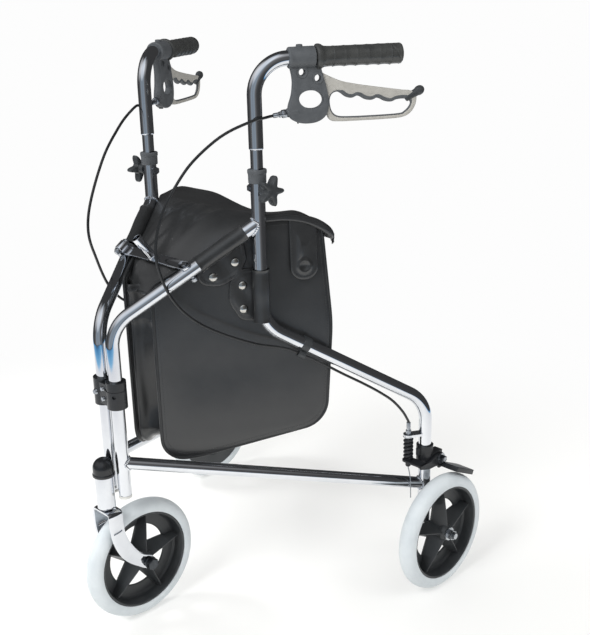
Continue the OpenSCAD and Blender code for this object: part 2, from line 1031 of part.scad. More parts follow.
function mix4(a, b, c, d, t) = 0.5 * (2 * b + (c - a) * t + (2 * a - 5 * b + 4 * c - d) * t * t
  + (3 * b - a - 3 * c + d) * t * t * t);
function route_at(p, i, t) = mix4(p[max(i - 1, 0)], p[i], p[i + 1], p[min(i + 2, len(p) - 1)], t);
function smooth(p, k) = concat([for (i = [0 : len(p) - 2]) for (j = [0 : k - 1]) route_at(p, i, j / k)],
  [p[len(p) - 1]]);
function unit3(v) = v / norm(v);
function heading(p, i) = unit3(p[min(i + 1, len(p) - 1)] - p[max(i - 1, 0)]);
function ring(c, h, r, n) = let (
    a = unit3(cross(h, [1, 0, 0.01])),
    b = cross(h, a)
  ) [for (k = [0 : n - 1]) c + r * (cos(360 * k / n) * a + sin(360 * k / n) * b)];

// closed tube along points, one ring of corners of its own radius at every point
module sweep_tube(p, r, n) {
  m = len(p);
  pts = [for (i = [0 : m - 1]) each ring(p[i], heading(p, i), r[i], n)];
  walls = [for (i = [0 : m - 2]) for (k = [0 : n - 1]) each [
    [i * n + k, i * n + (k + 1) % n, (i + 1) * n + k],
    [i * n + (k + 1) % n, (i + 1) * n + (k + 1) % n, (i + 1) * n + k]]];
  low = [for (k = [1 : n - 2]) [0, k + 1, k]];
  high = [for (k = [1 : n - 2]) [(m - 1) * n, (m - 1) * n + k, (m - 1) * n + k + 1]];
  polyhedron(points = pts, faces = concat(walls, low, high), convexity = 10);
}

// outer cable, ferrule on the stop tab and the bare wire to the brake arm, in one run
// the tail of the wire bends outward past the lower rail
function drop(z, t = 0) = [t, anchor_s, anchor_z + z];
cable_end = [drop(18.2), drop(18), drop(4.3), drop(4.1), drop(0.2), drop(0),
  drop(-54), drop(-62, 5), drop(-70, 12), drop(-106, 13)];
cable_bulge = [cable_d / 2, 4.5, 4.5, 2.6, 2.6, 0.9, 0.9, 0.9, 0.9, 0.9];
cable_core = smooth(cable_route, cable_steps);
cable_line = concat(cable_core, cable_end);
function cable_r(i) = i < len(cable_core) ? cable_d / 2 : cable_bulge[i - len(cable_core)];

module cable_side() {
  sweep_tube(cable_line, [for (i = [0 : len(cable_line) - 1]) cable_r(i)], cable_sides);
}

module left_brake_cable() {
  color(BLACK)
    at_side(0)
      cable_side();
}

module right_brake_cable() {
  color(BLACK)
    at_side(1)
      cable_side();
}

// strap round the sloping tube that holds the cable under it
module clip_side() {
  clip_s = 292;
  lug_t = 6;
  lug_y = 15.5;
  translate([0, clip_s, socket_z - (clip_s - handle_s) * tan(slope_down)])
    rotate([-90 - slope_down, 0, 0])
      difference() {
        union() {
          cylinder(h = 12, d = tube_d + 3, center = true);
          translate([lug_t, lug_y, 0])
            cylinder(h = 12, d = cable_d + 6, center = true);
        }
        cylinder(h = 14, d = tube_d + 2 * seat_gap, center = true);
        translate([lug_t, lug_y, 0])
          cylinder(h = 14, d = cable_d + 3, center = true);
      }
}

module left_cable_clip() {
  color(BLACK)
    at_side(0)
      clip_side();
}

module right_cable_clip() {
  color(BLACK)
    at_side(1)
      clip_side();
}

// leg coordinates: x outward across the walker, y to the rear, z up from the floor
module at_leg(m) {
  mirror([m, 0, 0])
    translate([post_x + leg_dx, wheel_y, 0])
      children();
}

// band round the leg with a lug for the arm
module bracket_side() {
  lug_x = arm_x - post_x - leg_dx - side_gap;
  difference() {
    union() {
      translate([0, 0, brake_z - 14])
        cylinder(h = 40, r = tube_r + 3.5);
      translate([0, 0, brake_z - 12])
        cube([lug_x, brake_y + 9, 24]);
      translate([-3, -tube_r - 9, brake_z + 12])
        cube([6, 10, 12]);
    }
    translate([0, 0, brake_z - 60])
      cylinder(h = 120, d = tube_d + 2 * seat_gap);
    translate([-60, brake_y, brake_z])
      rotate([0, 90, 0])
        cylinder(h = 120, d = brake_bolt_d + 2 * seat_gap);
    // room for the nut inside the band
    translate([-60, brake_y, brake_z])
      rotate([0, 90, 0])
        cylinder(h = 60, d = 15);
  }
}

module left_brake_bracket() {
  color(BLACK)
    at_leg(0)
      bracket_side();
}

module right_brake_bracket() {
  color(BLACK)
    at_leg(1)
      bracket_side();
}

// shoulder bolt the arm turns on, head outside
module brake_bolt_side() {
  plate_x = arm_x - post_x - leg_dx;
  translate([0, brake_y, brake_z])
    rotate([0, 90, 0]) {
      translate([0, 0, -4])
        cylinder(h = plate_x + arm_plate + side_gap + 12, d = brake_bolt_d);
      translate([0, 0, plate_x + arm_plate + side_gap])
        cylinder(h = 1.6, d = 18);
      translate([0, 0, plate_x + arm_plate + side_gap + 1.5])
        cylinder(h = 5, d = 13, $fn = 6);
      translate([0, 0, -5 - seat_gap])
        cylinder(h = 5, d = 13, $fn = 6);
    }
}

module left_brake_bolt() {
  color(SILVER)
    at_leg(0)
      brake_bolt_side();
}

module right_brake_bolt() {
  color(SILVER)
    at_leg(1)
      brake_bolt_side();
}

// pull plate at the wire, side plate past the leg and shoe over the tyre
shoe_fall = 26;
shoe_len = 50;
// the flat of the shoe stands this far off the tyre
shoe_off = 3.2;
shoe_z = wheel_r + (wheel_r + shoe_off - (brake_y + 3) * sin(shoe_fall)) / cos(shoe_fall);
pull_x = -29 * sin(splay);
pull_y = -29 * cos(splay);

module arm_side() {
  plate_x = arm_x - post_x - leg_dx;
  difference() {
    union() {
      translate([plate_x, pull_y - 9, brake_z - 10])
        cube([arm_plate, brake_y + 19 - pull_y, 18]);
      translate([plate_x, brake_y - 8, shoe_z])
        cube([arm_plate, 20, brake_z - shoe_z]);
      translate([pull_x - 9, pull_y - 9, brake_z - 1])
        cube([plate_x - pull_x + 10, 18, 4]);
      translate([pull_x, pull_y, brake_z - 9])
        cylinder(h = 9, d = 9);
      translate([plate_x, brake_y + 3, shoe_z])
        rotate([-shoe_fall, 0, 0])
          cube([wheel_off + tyre_w / 2 + 1 - plate_x, shoe_len, 5]);
    }
    translate([-60, brake_y, brake_z])
      rotate([0, 90, 0])
        cylinder(h = 120, d = brake_bolt_d + 2 * run_gap);
    translate([pull_x, pull_y, brake_z - 20])
      cylinder(h = 40, d = 4);
  }
}

module left_brake_arm() {
  color(BLACK)
    at_leg(0)
      arm_side();
}

module right_brake_arm() {
  color(BLACK)
    at_leg(1)
      arm_side();
}

// return spring round the bare wire, a real helix between the tab and the arm
spring_steps = 8 * spring_turns;
spring_mid = (spring_d - spring_wire) / 2;
function helix(i) = [spring_mid * cos(45 * i), spring_mid * sin(45 * i),
  spring_low + spring_wire / 2 + spring_rise * i / spring_steps];
spring_gap = spring_rise / spring_turns - spring_wire;
echo(least_self_gap = spring_gap);

module spring_side() {
  translate([0, anchor_s, 0])
    sweep_tube([for (i = [0 : spring_steps]) helix(i)],
      [for (i = [0 : spring_steps]) spring_wire / 2], 6);
}

module left_brake_spring() {
  color(BLACK)
    at_side(0)
      spring_side();
}

module right_brake_spring() {
  color(BLACK)
    at_side(1)
      spring_side();
}

// flat bar with an eye at the right, a long hole over the peg at the left and a pull handle
module lock_bar() {
  eye_r = 6;
  color(BLACK)
    at_bar()
      difference() {
        union() {
          translate([-bar_half, -bar_w / 2, bar_low])
            cube([2 * bar_half - 8, bar_w, bar_t]);
          translate([bar_half - 8, 0, bar_low])
            cylinder(h = bar_t, d = bar_w);
          translate([bar_half + 1, 0, bar_low])
            cylinder(h = bar_t, d = bar_w);
          translate([bar_half - 8, -bar_w / 2, bar_low])
            cube([9, bar_w, bar_t]);
          translate([-bar_half, -bar_w / 2, bar_pin])
            rotate([-90, 0, 0])
              cylinder(h = bar_w, r = eye_r);
          // pull handle: a sleeve on a stub, leaning to the right
          translate([0, 0, bar_low])
            cylinder(h = bar_t + 3, d = 14);
          translate([0, 0, bar_low + bar_t])
            rotate([0, -14, 0])
              cylinder(h = 38, d = 12);
        }
        translate([-bar_half, -bar_w, bar_pin])
          rotate([-90, 0, 0])
            cylinder(h = 2 * bar_w, d = 6 + 2 * run_gap);
        for (dx = [-6, 0])
          translate([bar_half + dx, 0, bar_low - 1])
            cylinder(h = bar_t + 2, d = peg_d + 2 * peg_play);
        translate([bar_half - 6, -peg_d / 2 - peg_play, bar_low - 1])
          cube([6, peg_d + 2 * peg_play, bar_t + 2]);
        translate([0, 0, bar_low + bar_t])
          rotate([0, -14, 0])
            translate([0, 0, 18])
              cylinder(h = 30, d = 9);
      }
}

// two ears welded on the right tube and the cross pin the bar lifts on
module lock_pivot() {
  ear = bar_w / 2 + side_gap;
  color(SILVER)
    at_bar()
      translate([-bar_half, 0, 0])
        difference() {
          union() {
            for (k = [0, 1])
              mirror([0, k, 0]) {
                translate([-6, ear, 2])
                  cube([12, 3, bar_pin - 2]);
                translate([0, ear, bar_pin])
                  rotate([-90, 0, 0])
                    cylinder(h = 3, r = 6);
                translate([0, ear + 2.8, bar_pin])
                  rotate([-90, 0, 0])
                    cylinder(h = 3, d1 = 10, d2 = 7);
              }
            translate([0, ear + 3, bar_pin])
              rotate([90, 0, 0])
                cylinder(h = 2 * ear + 6, d = 6);
          }
          rotate([0, 0, bar_run])
            rotate([90, 0, 0])
              cylinder(h = 8 * tube_d, r = front_r + seat_gap, center = true);
        }
}

// plain peg through the left tube
module lock_peg() {
  color(SILVER)
    at_bar()
      translate([bar_half, 0, 0]) {
        translate([0, 0, -front_r - 6])
          cylinder(h = 2 * front_r + 6 + bar_t + 3, d = peg_d);
        translate([0, 0, -front_r - 7])
          cylinder(h = 5, d = peg_d + 4);
      }
}

// outline of a side panel in frame distance and height
panel_corner = 46;
panel_rise = 24;
module panel_outline() {
  union() {
    polygon([[bag_front, bag_low + 30], [bag_front + 30, bag_low],
      [bag_rear - panel_corner, bag_low + panel_rise], [bag_rear, bag_low + panel_rise + panel_corner],
      [bag_rear, bag_top - 16], [bag_rear - 12, bag_top - 4], [handle_s, bag_top - 4],
      [bag_front + 10, front_z + 32], [bag_front, front_z + 10]]);
    translate([bag_front + 30, bag_low + 30])
      circle(r = 30);
    translate([bag_rear - panel_corner, bag_low + panel_rise + panel_corner])
      circle(r = panel_corner);
  }
}

module panel_side() {
  difference() {
    translate([(panel_out + panel_in) / 2, 0, 0])
      in_plane(panel_t)
        panel_outline();
    rivet_places()
      cylinder(h = 60, d = rivet_shank + 2 * seat_gap, center = true);
  }
}

module left_bag_panel() {
  color(VINYL)
    at_side(0)
      panel_side();
}

module right_bag_panel() {
  color(VINYL)
    at_side(1)
      panel_side();
}

// rivet positions on one side, z outward from the panel face
module rivet_places() {
  for (p = [[loop_mid - 13, joint_z - 80], [loop_mid + 21, joint_z - 60],
      [handle_s - 26, loop_zm + 15], [handle_s - 26, loop_zm - 22]])
    translate([panel_out, p[0], p[1]])
      rotate([0, 90, 0])
        children();
}

// half width at y of the space between the two frame planes, each moved outward by t
function wedge_x(y, t) = post_x + (y - post_y) * tan(splay) + t / cos(splay);
function plan_y(s, t) = post_y + s * cos(splay) - t * sin(splay);
module plan_wedge(y1, y2, t) {
  polygon([[wedge_x(y1, t), y1], [wedge_x(y2, t), y2], [-wedge_x(y2, t), y2], [-wedge_x(y1, t), y1]]);
}
skin_side = panel_in - 0.1;
gusset_y1 = plan_y(bag_front + 8, skin_side);
gusset_y2 = plan_y(bag_rear - 8, skin_side);
// lowest edges of the gusset in front and behind, clear of the rounded corners of the panels
gusset_low = bag_low + 13;
gusset_back = gusset_low + panel_rise + 9;

// how far the gusset folds inward in front and behind, and upward below
pleat_front = 30;
pleat_back = 46;
pleat_low = 24;
// sag of the cover in the middle and drop of its corners, at its rear edge
cover_sag = 11;
cover_drop = 20;

// one wall of the gusset in plan: edges at y, folded in the middle by d
module pleat_plan(y, d) {
  x1 = wedge_x(y, skin_side);
  x2 = wedge_x(y + skin_t, skin_side);
  polygon([[x1, y], [0, y + d], [-x1, y], [-x2, y + skin_t], [0, y + d + skin_t], [x2, y + skin_t]]);
}

// one half of the gusset's bottom, rising from the panel to the fold in the middle
module pleat_floor() {
  y1 = gusset_y1 + skin_t / 2;
  y2 = gusset_y2 - skin_t / 2;
  side = skin_side - 0.3;
  sheet([[[wedge_x(y1, side), y1, gusset_low], [wedge_x(y2, side), y2, gusset_back]],
    [[-0.6, y1 + pleat_front, gusset_low + pleat_low], [-0.6, y2 - pleat_back, gusset_back + pleat_low]]]);
}

// a skin of even thickness under rows of points, each cell split into two triangles
module sheet(rows) {
  n = len(rows);
  m = len(rows[0]);
  under = n * m;
  cells = [for (i = [0:n - 2], j = [0:m - 2]) i * m + j];
  rim = concat([for (j = [0:m - 2]) [j, j + 1]],
    [for (i = [0:n - 2]) [i * m + m - 1, i * m + 2 * m - 1]],
    [for (j = [m - 1:-1:1]) [(n - 1) * m + j, (n - 1) * m + j - 1]],
    [for (i = [n - 1:-1:1]) [i * m, i * m - m]]);
  polyhedron(
    concat([for (r = rows, p = r) p], [for (r = rows, p = r) p - [0, 0, skin_t]]),
    concat([for (c = cells) [c, c + m, c + 1]], [for (c = cells) [c + 1, c + m, c + m + 1]],
      [for (c = cells) [c + 1, c + m, c] + [under, under, under]],
      [for (c = cells) [c + m + 1, c + m, c + 1] + [under, under, under]],
      [for (e = rim) [e[0], e[1], e[1] + under]], [for (e = rim) [e[0], e[1] + under, e[0] + under]]));
}

// strip round the front, the bottom and the back of the bag, pleated inward
module bag_gusset() {
  color(VINYL)
    union() {
      translate([0, 0, gusset_low - 2])
        linear_extrude(front_z + 18 - gusset_low)
          pleat_plan(gusset_y1, pleat_front);
      translate([0, 0, gusset_back - 2])
        linear_extrude(bag_top - cover_drop - 2 - gusset_back)
          pleat_plan(gusset_y2 - skin_t, -pleat_back);
      pleat_floor();
      mirror([1, 0, 0])
        pleat_floor();
    }
}

// cover over the top of the bag: arched up from the front along the upper tubes, slack between the panels
module bag_flap() {
  y1 = plan_y(bag_front + 10, skin_side);
  y2 = plan_y(handle_s, skin_side);
  y3 = plan_y(bag_rear - 4, skin_side);
  rise = bag_top - front_z - 28;
  ways = concat([for (k = [0:0.2:1]) y1 + k * (y2 - y1)], [y2 + (y3 - y2) / 2, y3]);
  function arch(y) = bag_top - rise * pow(1 - min((y - y1) / (y2 - y1), 1), 2);
  function late(y) = max(0, (y - y2) / (y3 - y2));
  function low(y, a) = cover_sag * (1 - a * a) * min(1, late(y) + 0.3 * pow((y - y1) / (y3 - y1), 2))
    + (abs(a) > 0.9 ? cover_drop * late(y) * late(y) : 0);
  color(VINYL)
    sheet([for (y = ways) [for (a = [-1, -0.7, 0, 0.7, 1])
      [a * wedge_x(y, skin_side), y, arch(y) - low(y, a)]]]);
}

// vinyl loops round the upper tube and the socket, each with a half round patch
module straps_side() {
  up = [cos(slope_up), sin(slope_up)];
  difference() {
    union() {
      straight_rod([loop_s1, front_z + loop_s1 * tan(slope_up)],
        [loop_s2, front_z + loop_s2 * tan(slope_up)], front_d + 5);
      straight_rod([handle_s, loop_z1], [handle_s, loop_z2], 2 * strap_r);
      translate([panel_out + 1.1, 0, 0])
        in_plane(2) {
          intersection() {
            translate([loop_mid - 1, front_z + loop_mid * tan(slope_up) - 18])
              circle(r = patch_r);
            polygon([[loop_s1, front_z + loop_s1 * tan(slope_up)],
              [loop_s2, front_z + loop_s2 * tan(slope_up)],
              [loop_s2 + 20, front_z], [loop_s1, front_z]]);
          }
          intersection() {
            translate([handle_s - 14, loop_zm - 2])
              circle(r = patch_r - 3);
            translate([handle_s - 56, loop_z1])
              square([56, loop_z2 - loop_z1]);
          }
        }
    }
    bent_rod(front_path, bend_r, front_d + 2 * seat_gap);
    bent_rod(rear_path, bend_r, tube_d + 2 * seat_gap);
    rivet_places()
      cylinder(h = 60, d = rivet_shank + 2 * seat_gap, center = true);
  }
}

module left_bag_straps() {
  color(VINYL)
    at_side(0)
      straps_side();
}

module right_bag_straps() {
  color(VINYL)
    at_side(1)
      straps_side();
}

// domed rivets through the patches and the panels
module rivets_side() {
  rivet_places() {
    translate([0, 0, -panel_t - 1.6])
      cylinder(h = panel_t + 4, d = rivet_shank);
    translate([0, 0, 2.2])
      intersection() {
        translate([0, 0, -rivet_d / 2 + 3])
          sphere(d = rivet_d + 2);
        cylinder(h = 10, d = rivet_d);
      }
    translate([0, 0, -panel_t - 1.6])
      cylinder(h = 1.5, d = 10);
  }
}

module left_bag_rivets() {
  color(SILVER)
    at_side(0)
      rivets_side();
}

module right_bag_rivets() {
  color(SILVER)
    at_side(1)
      rivets_side();
}

right_frame();
left_frame();
right_tube_plugs();
left_tube_plugs();
hinge_bracket();
hinge_rivets();
caster_housing();
caster_cap();
caster_fork();
caster_nuts();
front_axle();
front_hub();
front_tyre();
left_axle();
left_hub();
left_tyre();
right_axle();
right_hub();
right_tyre();
left_collar();
right_collar();
left_handle_tube();
right_handle_tube();
left_handle_post();
right_handle_post();
left_grip();
right_grip();
left_brake_housing();
right_brake_housing();
left_brake_fittings();
right_brake_fittings();
left_brake_lever();
right_brake_lever();
left_star_knob();
right_star_knob();
left_knob_bolt();
right_knob_bolt();
left_brake_cable();
right_brake_cable();
left_cable_clip();
right_cable_clip();
left_brake_bracket();
right_brake_bracket();
left_brake_bolt();
right_brake_bolt();
left_brake_arm();
right_brake_arm();
left_brake_spring();
right_brake_spring();
lock_bar();
lock_pivot();
lock_peg();
left_bag_panel();
right_bag_panel();
bag_gusset();
bag_flap();
left_bag_straps();
right_bag_straps();
left_bag_rivets();
right_bag_rivets();
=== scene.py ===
"""Looks of a three wheel rollator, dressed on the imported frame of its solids.

Shapes are worked out in millimetres as numpy grids and set down in metres in the frame of the solids.
Distances on a side frame are t (outward), s (back along the frame) and z (up).
"""
import logging
import math
from dataclasses import dataclass, field
from enum import Enum
from typing import Any, Optional, Sequence

import bmesh
import bpy
import numpy as np
from mathutils import Matrix


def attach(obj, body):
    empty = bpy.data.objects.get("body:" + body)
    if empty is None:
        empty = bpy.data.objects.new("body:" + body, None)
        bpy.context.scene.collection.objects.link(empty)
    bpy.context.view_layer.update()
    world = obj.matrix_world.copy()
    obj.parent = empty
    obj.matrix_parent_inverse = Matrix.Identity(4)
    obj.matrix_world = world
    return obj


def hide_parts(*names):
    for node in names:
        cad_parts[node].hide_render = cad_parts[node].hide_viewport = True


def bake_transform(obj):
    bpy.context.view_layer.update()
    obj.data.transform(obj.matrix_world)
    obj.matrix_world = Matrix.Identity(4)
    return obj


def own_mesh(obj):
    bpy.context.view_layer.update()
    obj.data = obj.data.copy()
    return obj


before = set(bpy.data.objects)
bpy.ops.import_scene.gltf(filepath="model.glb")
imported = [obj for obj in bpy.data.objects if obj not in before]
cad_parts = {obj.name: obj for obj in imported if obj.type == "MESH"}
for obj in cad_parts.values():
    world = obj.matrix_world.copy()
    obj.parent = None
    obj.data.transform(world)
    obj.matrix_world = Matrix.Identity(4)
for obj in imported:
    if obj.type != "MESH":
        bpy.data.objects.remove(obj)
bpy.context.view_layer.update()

MM = 0.001
PER_METRE = 1000
COAT_ROUGH = 0.2
SHEEN_ROUGH = 0.4
log = logging.getLogger("rollator")
Array = np.ndarray


# Materials

def linear(code: str) -> tuple[float, float, float, float]:
    """Turns an sRGB hex colour into linear RGBA.

    Args:
        code: colour as "#rrggbb".
    Returns:
        Linear red, green, blue and an alpha of 1.
    """
    v = np.array([int(code[i:i + 2], 16) for i in (1, 3, 5)]) / 255
    lin = np.where(v <= 0.04045, v / 12.92, ((v + 0.055) / 1.055) ** 2.4)
    return (float(lin[0]), float(lin[1]), float(lin[2]), 1.0)


def add(tree: bpy.types.NodeTree, kind: str, props: Optional[dict[str, Any]] = None,
        values: Optional[dict[Any, Any]] = None, links: Optional[dict[Any, Any]] = None) -> bpy.types.Node:
    """Adds one node with its settings and links.

    Args:
        tree: node tree to add to.
        kind: node type.
        props: node properties by name.
        values: socket values by socket name or number.
        links: output sockets by the name or number of the input they feed.
    Returns:
        The new node.
    """
    node = tree.nodes.new(kind)
    for name, value in (props or {}).items():
        setattr(node, name, value)
    for socket, value in (values or {}).items():
        node.inputs[socket].default_value = value
    for socket, source in (links or {}).items():
        tree.links.new(source, node.inputs[socket])
    return node


def grey(value: float) -> tuple[float, float, float, float]:
    """A linear grey, slightly cool."""
    return (value, value, value * 1.02, 1.0)


def ramp(tree: bpy.types.NodeTree, source: Any, stops: Sequence[tuple[float, tuple]]) -> Any:
    """Colour ramp through the given stops.

    Args:
        tree: node tree to add to.
        source: output socket that drives the ramp.
        stops: position and linear RGBA of each stop.
    Returns:
        The ramp's colour output.
    """
    node = add(tree, "ShaderNodeValToRGB", links={0: source})
    while len(node.color_ramp.elements) < len(stops):
        node.color_ramp.elements.new(1.0)
    for element, (place, color) in zip(node.color_ramp.elements, stops):
        element.position, element.color = place, color
    return node.outputs["Color"]


class Grain(Enum):
    """Kind of the fine relief on a surface."""

    CLOUD = "ShaderNodeTexNoise"
    CELLS = "ShaderNodeTexVoronoi"


@dataclass(frozen=True)
class Finish:
    """A surface finish: mottled colour, spread of roughness and fine relief, sizes in millimetres."""

    name: str
    slot: str
    color: str
    tint: str
    metallic: float = 0.0
    rough: tuple[float, float] = (0.3, 0.4)
    patch_mm: float = 30.0
    grain: Grain = Grain.CLOUD
    grain_mm: float = 1.0
    grain_depth: float = 0.03
    wave_mm: float = 60.0
    wave_depth: float = 0.0
    ior: Optional[float] = None
    coat: float = 0.0
    sheen: float = 0.0

    def material(self) -> bpy.types.Material:
        """The finish as a material, made once. Mottling is noise at patch_mm, relief is grain at grain_mm.

        Returns:
            The material of this name.
        """
        known = bpy.data.materials.get(self.name)
        if known:
            return known
        mat = bpy.data.materials.new(self.name)
        mat.use_nodes = True
        tree = mat.node_tree
        tree.nodes.clear()
        where = add(tree, "ShaderNodeTexCoord").outputs["Object"]
        cloud = add(tree, "ShaderNodeTexNoise",
                    values={"Scale": PER_METRE / self.patch_mm, "Detail": 6.0, "Roughness": 0.6},
                    links={"Vector": where}).outputs["Fac"]
        color = ramp(tree, cloud, [(0.35, linear(self.color)), (0.72, linear(self.tint))])
        rough = add(tree, "ShaderNodeMapRange",
                    values={"From Min": 0.3, "From Max": 0.7, "To Min": self.rough[0],
                            "To Max": self.rough[1]}, links={"Value": cloud}).outputs[0]
        fine = add(tree, self.grain.value, values={"Scale": PER_METRE / self.grain_mm},
                   links={"Vector": where}).outputs[0]
        bump = add(tree, "ShaderNodeBump", values={"Strength": 1.0, "Distance": self.grain_depth * MM},
                   links={"Height": fine})
        if self.wave_depth:
            wave = add(tree, "ShaderNodeTexNoise", values={"Scale": PER_METRE / self.wave_mm, "Detail": 2.0},
                       links={"Vector": where}).outputs["Fac"]
            bump = add(tree, "ShaderNodeBump", values={"Strength": 1.0, "Distance": self.wave_depth * MM},
                       links={"Height": wave, "Normal": bump.outputs[0]})
        values = {"Metallic": self.metallic}
        if self.ior:
            values["IOR"] = self.ior
        if self.coat:
            values.update({"Coat Weight": self.coat, "Coat Roughness": COAT_ROUGH})
        if self.sheen:
            values.update({"Sheen Weight": self.sheen, "Sheen Roughness": SHEEN_ROUGH})
        shader = add(tree, "ShaderNodeBsdfPrincipled", values=values,
                     links={"Base Color": color, "Roughness": rough, "Normal": bump.outputs[0]})
        add(tree, "ShaderNodeOutputMaterial", links={"Surface": shader.outputs[0]})
        return mat


# Chrome plated steel, polished: near mirror, with faint smears and a tube's slow waviness.
CHROME = Finish("chrome_plated_steel", "chrome_tube", "#e6e8ec", "#d8dbe0", 1.0, (0.025, 0.07), 70,
                Grain.CLOUD, 6.0, 0.004, 90, 0.05)
# Zinc plated steel: bright but soft, with the spangle of the plating.
ZINC = Finish("zinc_plated_steel", "zinc_steel", "#c3c6ca", "#9fa4aa", 1.0, (0.2, 0.38), 5, Grain.CELLS,
              1.6, 0.02)
# Nickel plated brass caps: smooth bright domes.
NICKEL = Finish("nickel_plated_brass", "nickel_rivet", "#d6d4cf", "#bdbab4", 1.0, (0.1, 0.22), 6,
                Grain.CLOUD, 1.5, 0.01)
# Powder coated steel: black, with a slight orange peel.
COATED = Finish("powder_coated_steel", "black_steel", "#1b1c1e", "#26282b", 0.0, (0.3, 0.42), 14,
                Grain.CLOUD, 1.8, 0.03, ior=1.5)
# Polypropylene, moulded: black hubs and knobs with a fine eroded texture and a dull gloss.
MOULDED = Finish("moulded_polypropylene", "black_moulding", "#2f3234", "#393b3d", 0.0, (0.32, 0.46), 22,
                 Grain.CLOUD, 0.9, 0.025, ior=1.49)
# ABS, moulded and polished: the glossy dome over the caster and the double sleeve.
GLOSSY = Finish("polished_abs", "black_moulding", "#17181a", "#202224", 0.0, (0.18, 0.3), 18, Grain.CLOUD,
                1.4, 0.012, ior=1.54)
# Glass filled nylon: dark grey brake housings, hollow pins and collars, eroded texture; it is also the dark
# strip of painted shade along the levers' finger side.
HOUSING = Finish("glass_filled_nylon", "grey_moulding", "#494c4f", "#54575a", 0.0, (0.42, 0.55), 12,
                 Grain.CLOUD, 0.8, 0.03, ior=1.53)
# Natural nylon: the pale plugs in the open tube ends.
NYLON = Finish("natural_nylon", "pale_plug", "#d8d8d4", "#cbcbc6", 0.0, (0.4, 0.5), 12, Grain.CLOUD, 1.0,
               0.02, ior=1.53)
# Soft PVC: dark grips with a soft gloss from handling.
GRIP = Finish("soft_pvc_grip", "grip_rubber", "#343535", "#404140", 0.0, (0.2, 0.32), 16, Grain.CLOUD, 1.1,
              0.04, ior=1.52)
# Cast aluminium under a silver lacquer: satin pale grey levers with a soft gloss.
ALLOY = Finish("lacquered_aluminium", "lever_alloy", "#a9a7a1", "#9b9993", 0.0, (0.28, 0.4), 9,
               Grain.CLOUD, 1.2, 0.03, ior=1.5)
# Steel nuts with a black oxide skin: dark, with a soft metal shine.
OXIDE = Finish("black_oxide_steel", "zinc_steel", "#54575a", "#43464a", 1.0, (0.26, 0.4), 4, Grain.CLOUD,
               0.8, 0.02)
# PVC sleeve of the cables, extruded and smooth.
SLEEVE = Finish("pvc_cable_sleeve", "cable_sleeve", "#18191a", "#232425", 0.0, (0.26, 0.36), 25,
                Grain.CLOUD, 3.0, 0.01, ior=1.53)
# Polyurethane tyre, cast solid: pale cool grey, silky, faintly clouded.
TYRE = Finish("cast_polyurethane", "grey_tyre", "#cfd5d8", "#c2c9cd", 0.0, (0.4, 0.55), 40, Grain.CLOUD,
              1.5, 0.02, ior=1.5)
# PVC coated cloth: black leather grain, its pebbles drawn at 1.8 mm so that they show, and slack waves.
VINYL = Finish("grained_pvc_cloth", "black_vinyl", "#202122", "#28292a", 0.0, (0.32, 0.44), 55,
               Grain.CELLS, 1.8, 0.07, 55, 0.9, ior=1.52, coat=0.6)
# The same cloth rolled round a cord: smoother, a little glossier.
PIPING = Finish("rolled_pvc_piping", "black_vinyl", "#202122", "#2a2b2c", 0.0, (0.3, 0.42), 20,
                Grain.CELLS, 1.2, 0.04, ior=1.52)
# Bonded polyester thread: black with a dull sheen.
THREAD = Finish("polyester_thread", "black_vinyl", "#2e2f30", "#3a3b3c", 0.0, (0.5, 0.6), 4, Grain.CLOUD,
                0.5, 0.05, sheen=0.2)


# Shapes

class Side(Enum):
    """Side of the walker, named for its user, with its sign on X."""

    LEFT = 1
    RIGHT = -1

    @property
    def word(self) -> str:
        """Side as the word in node and body names."""
        return self.name.lower()


@dataclass(frozen=True)
class Layout:
    """Where the two side frames stand."""

    post_x: float = 16.0
    post_y: float = -229.083
    splay: float = 30.0
    handle_s: float = 226.0

    def place(self, side: Side, t: Any, s: Any, z: Any) -> Array:
        """Points from frame distances: x = post + s sin + t cos, y = post + s cos - t sin of the splay.

        Args:
            side: side frame.
            t: outward distance.
            s: distance back along the frame.
            z: height.
        Returns:
            Points, last axis x, y, z in millimetres.
        """
        a = math.radians(self.splay)
        t, s, z = np.broadcast_arrays(np.asarray(t, float), np.asarray(s, float), np.asarray(z, float))
        x = self.post_x + s * math.sin(a) + t * math.cos(a)
        return np.stack([side.value * x, self.post_y + s * math.cos(a) - t * math.sin(a), z], -1)

    def outward(self, side: Side) -> Array:
        """Unit vector outward from a side frame."""
        a = math.radians(self.splay)
        return np.array([side.value * math.cos(a), -math.sin(a), 0.0])

    def back(self, side: Side) -> Array:
        """Unit vector back along a side frame."""
        a = math.radians(self.splay)
        return np.array([side.value * math.sin(a), math.cos(a), 0.0])

    def half_width(self, y: Array, t: float) -> Array:
        """Half the distance at y between the two frame planes, each moved outward by t."""
        a = math.radians(self.splay)
        return self.post_x + (y - self.post_y) * math.tan(a) + t / math.cos(a)


UP = np.array([0.0, 0.0, 1.0])
ACROSS = np.array([1.0, 0.0, 0.0])
BACK = np.array([0.0, 1.0, 0.0])


def angles(count: int) -> Array:
    """Even steps round a circle, in radians."""
    return np.linspace(0, 2 * np.pi, count, endpoint=False)


def unit(rows: Array) -> Array:
    """Rows scaled to length 1."""
    return rows / np.linalg.norm(rows, axis=1, keepdims=True)


def hole(spot: Sequence[float], radius: float, count: int) -> Array:
    """Outline of a round hole in a plane."""
    k = angles(count)
    return np.array(spot) + radius * np.stack([np.cos(k), np.sin(k)], 1)


def quads(at: Array) -> Array:
    """Corner numbers of the quads between the neighbours in a grid of point numbers."""
    return np.stack([at[:-1, :-1], at[:-1, 1:], at[1:, 1:], at[1:, :-1]], -1)


def ease(x: Array, low: float, high: float) -> Array:
    """Smooth step from 0 at low to 1 at high."""
    k = np.clip((np.asarray(x, float) - low) / (high - low), 0, 1)
    return k * k * (3 - 2 * k)


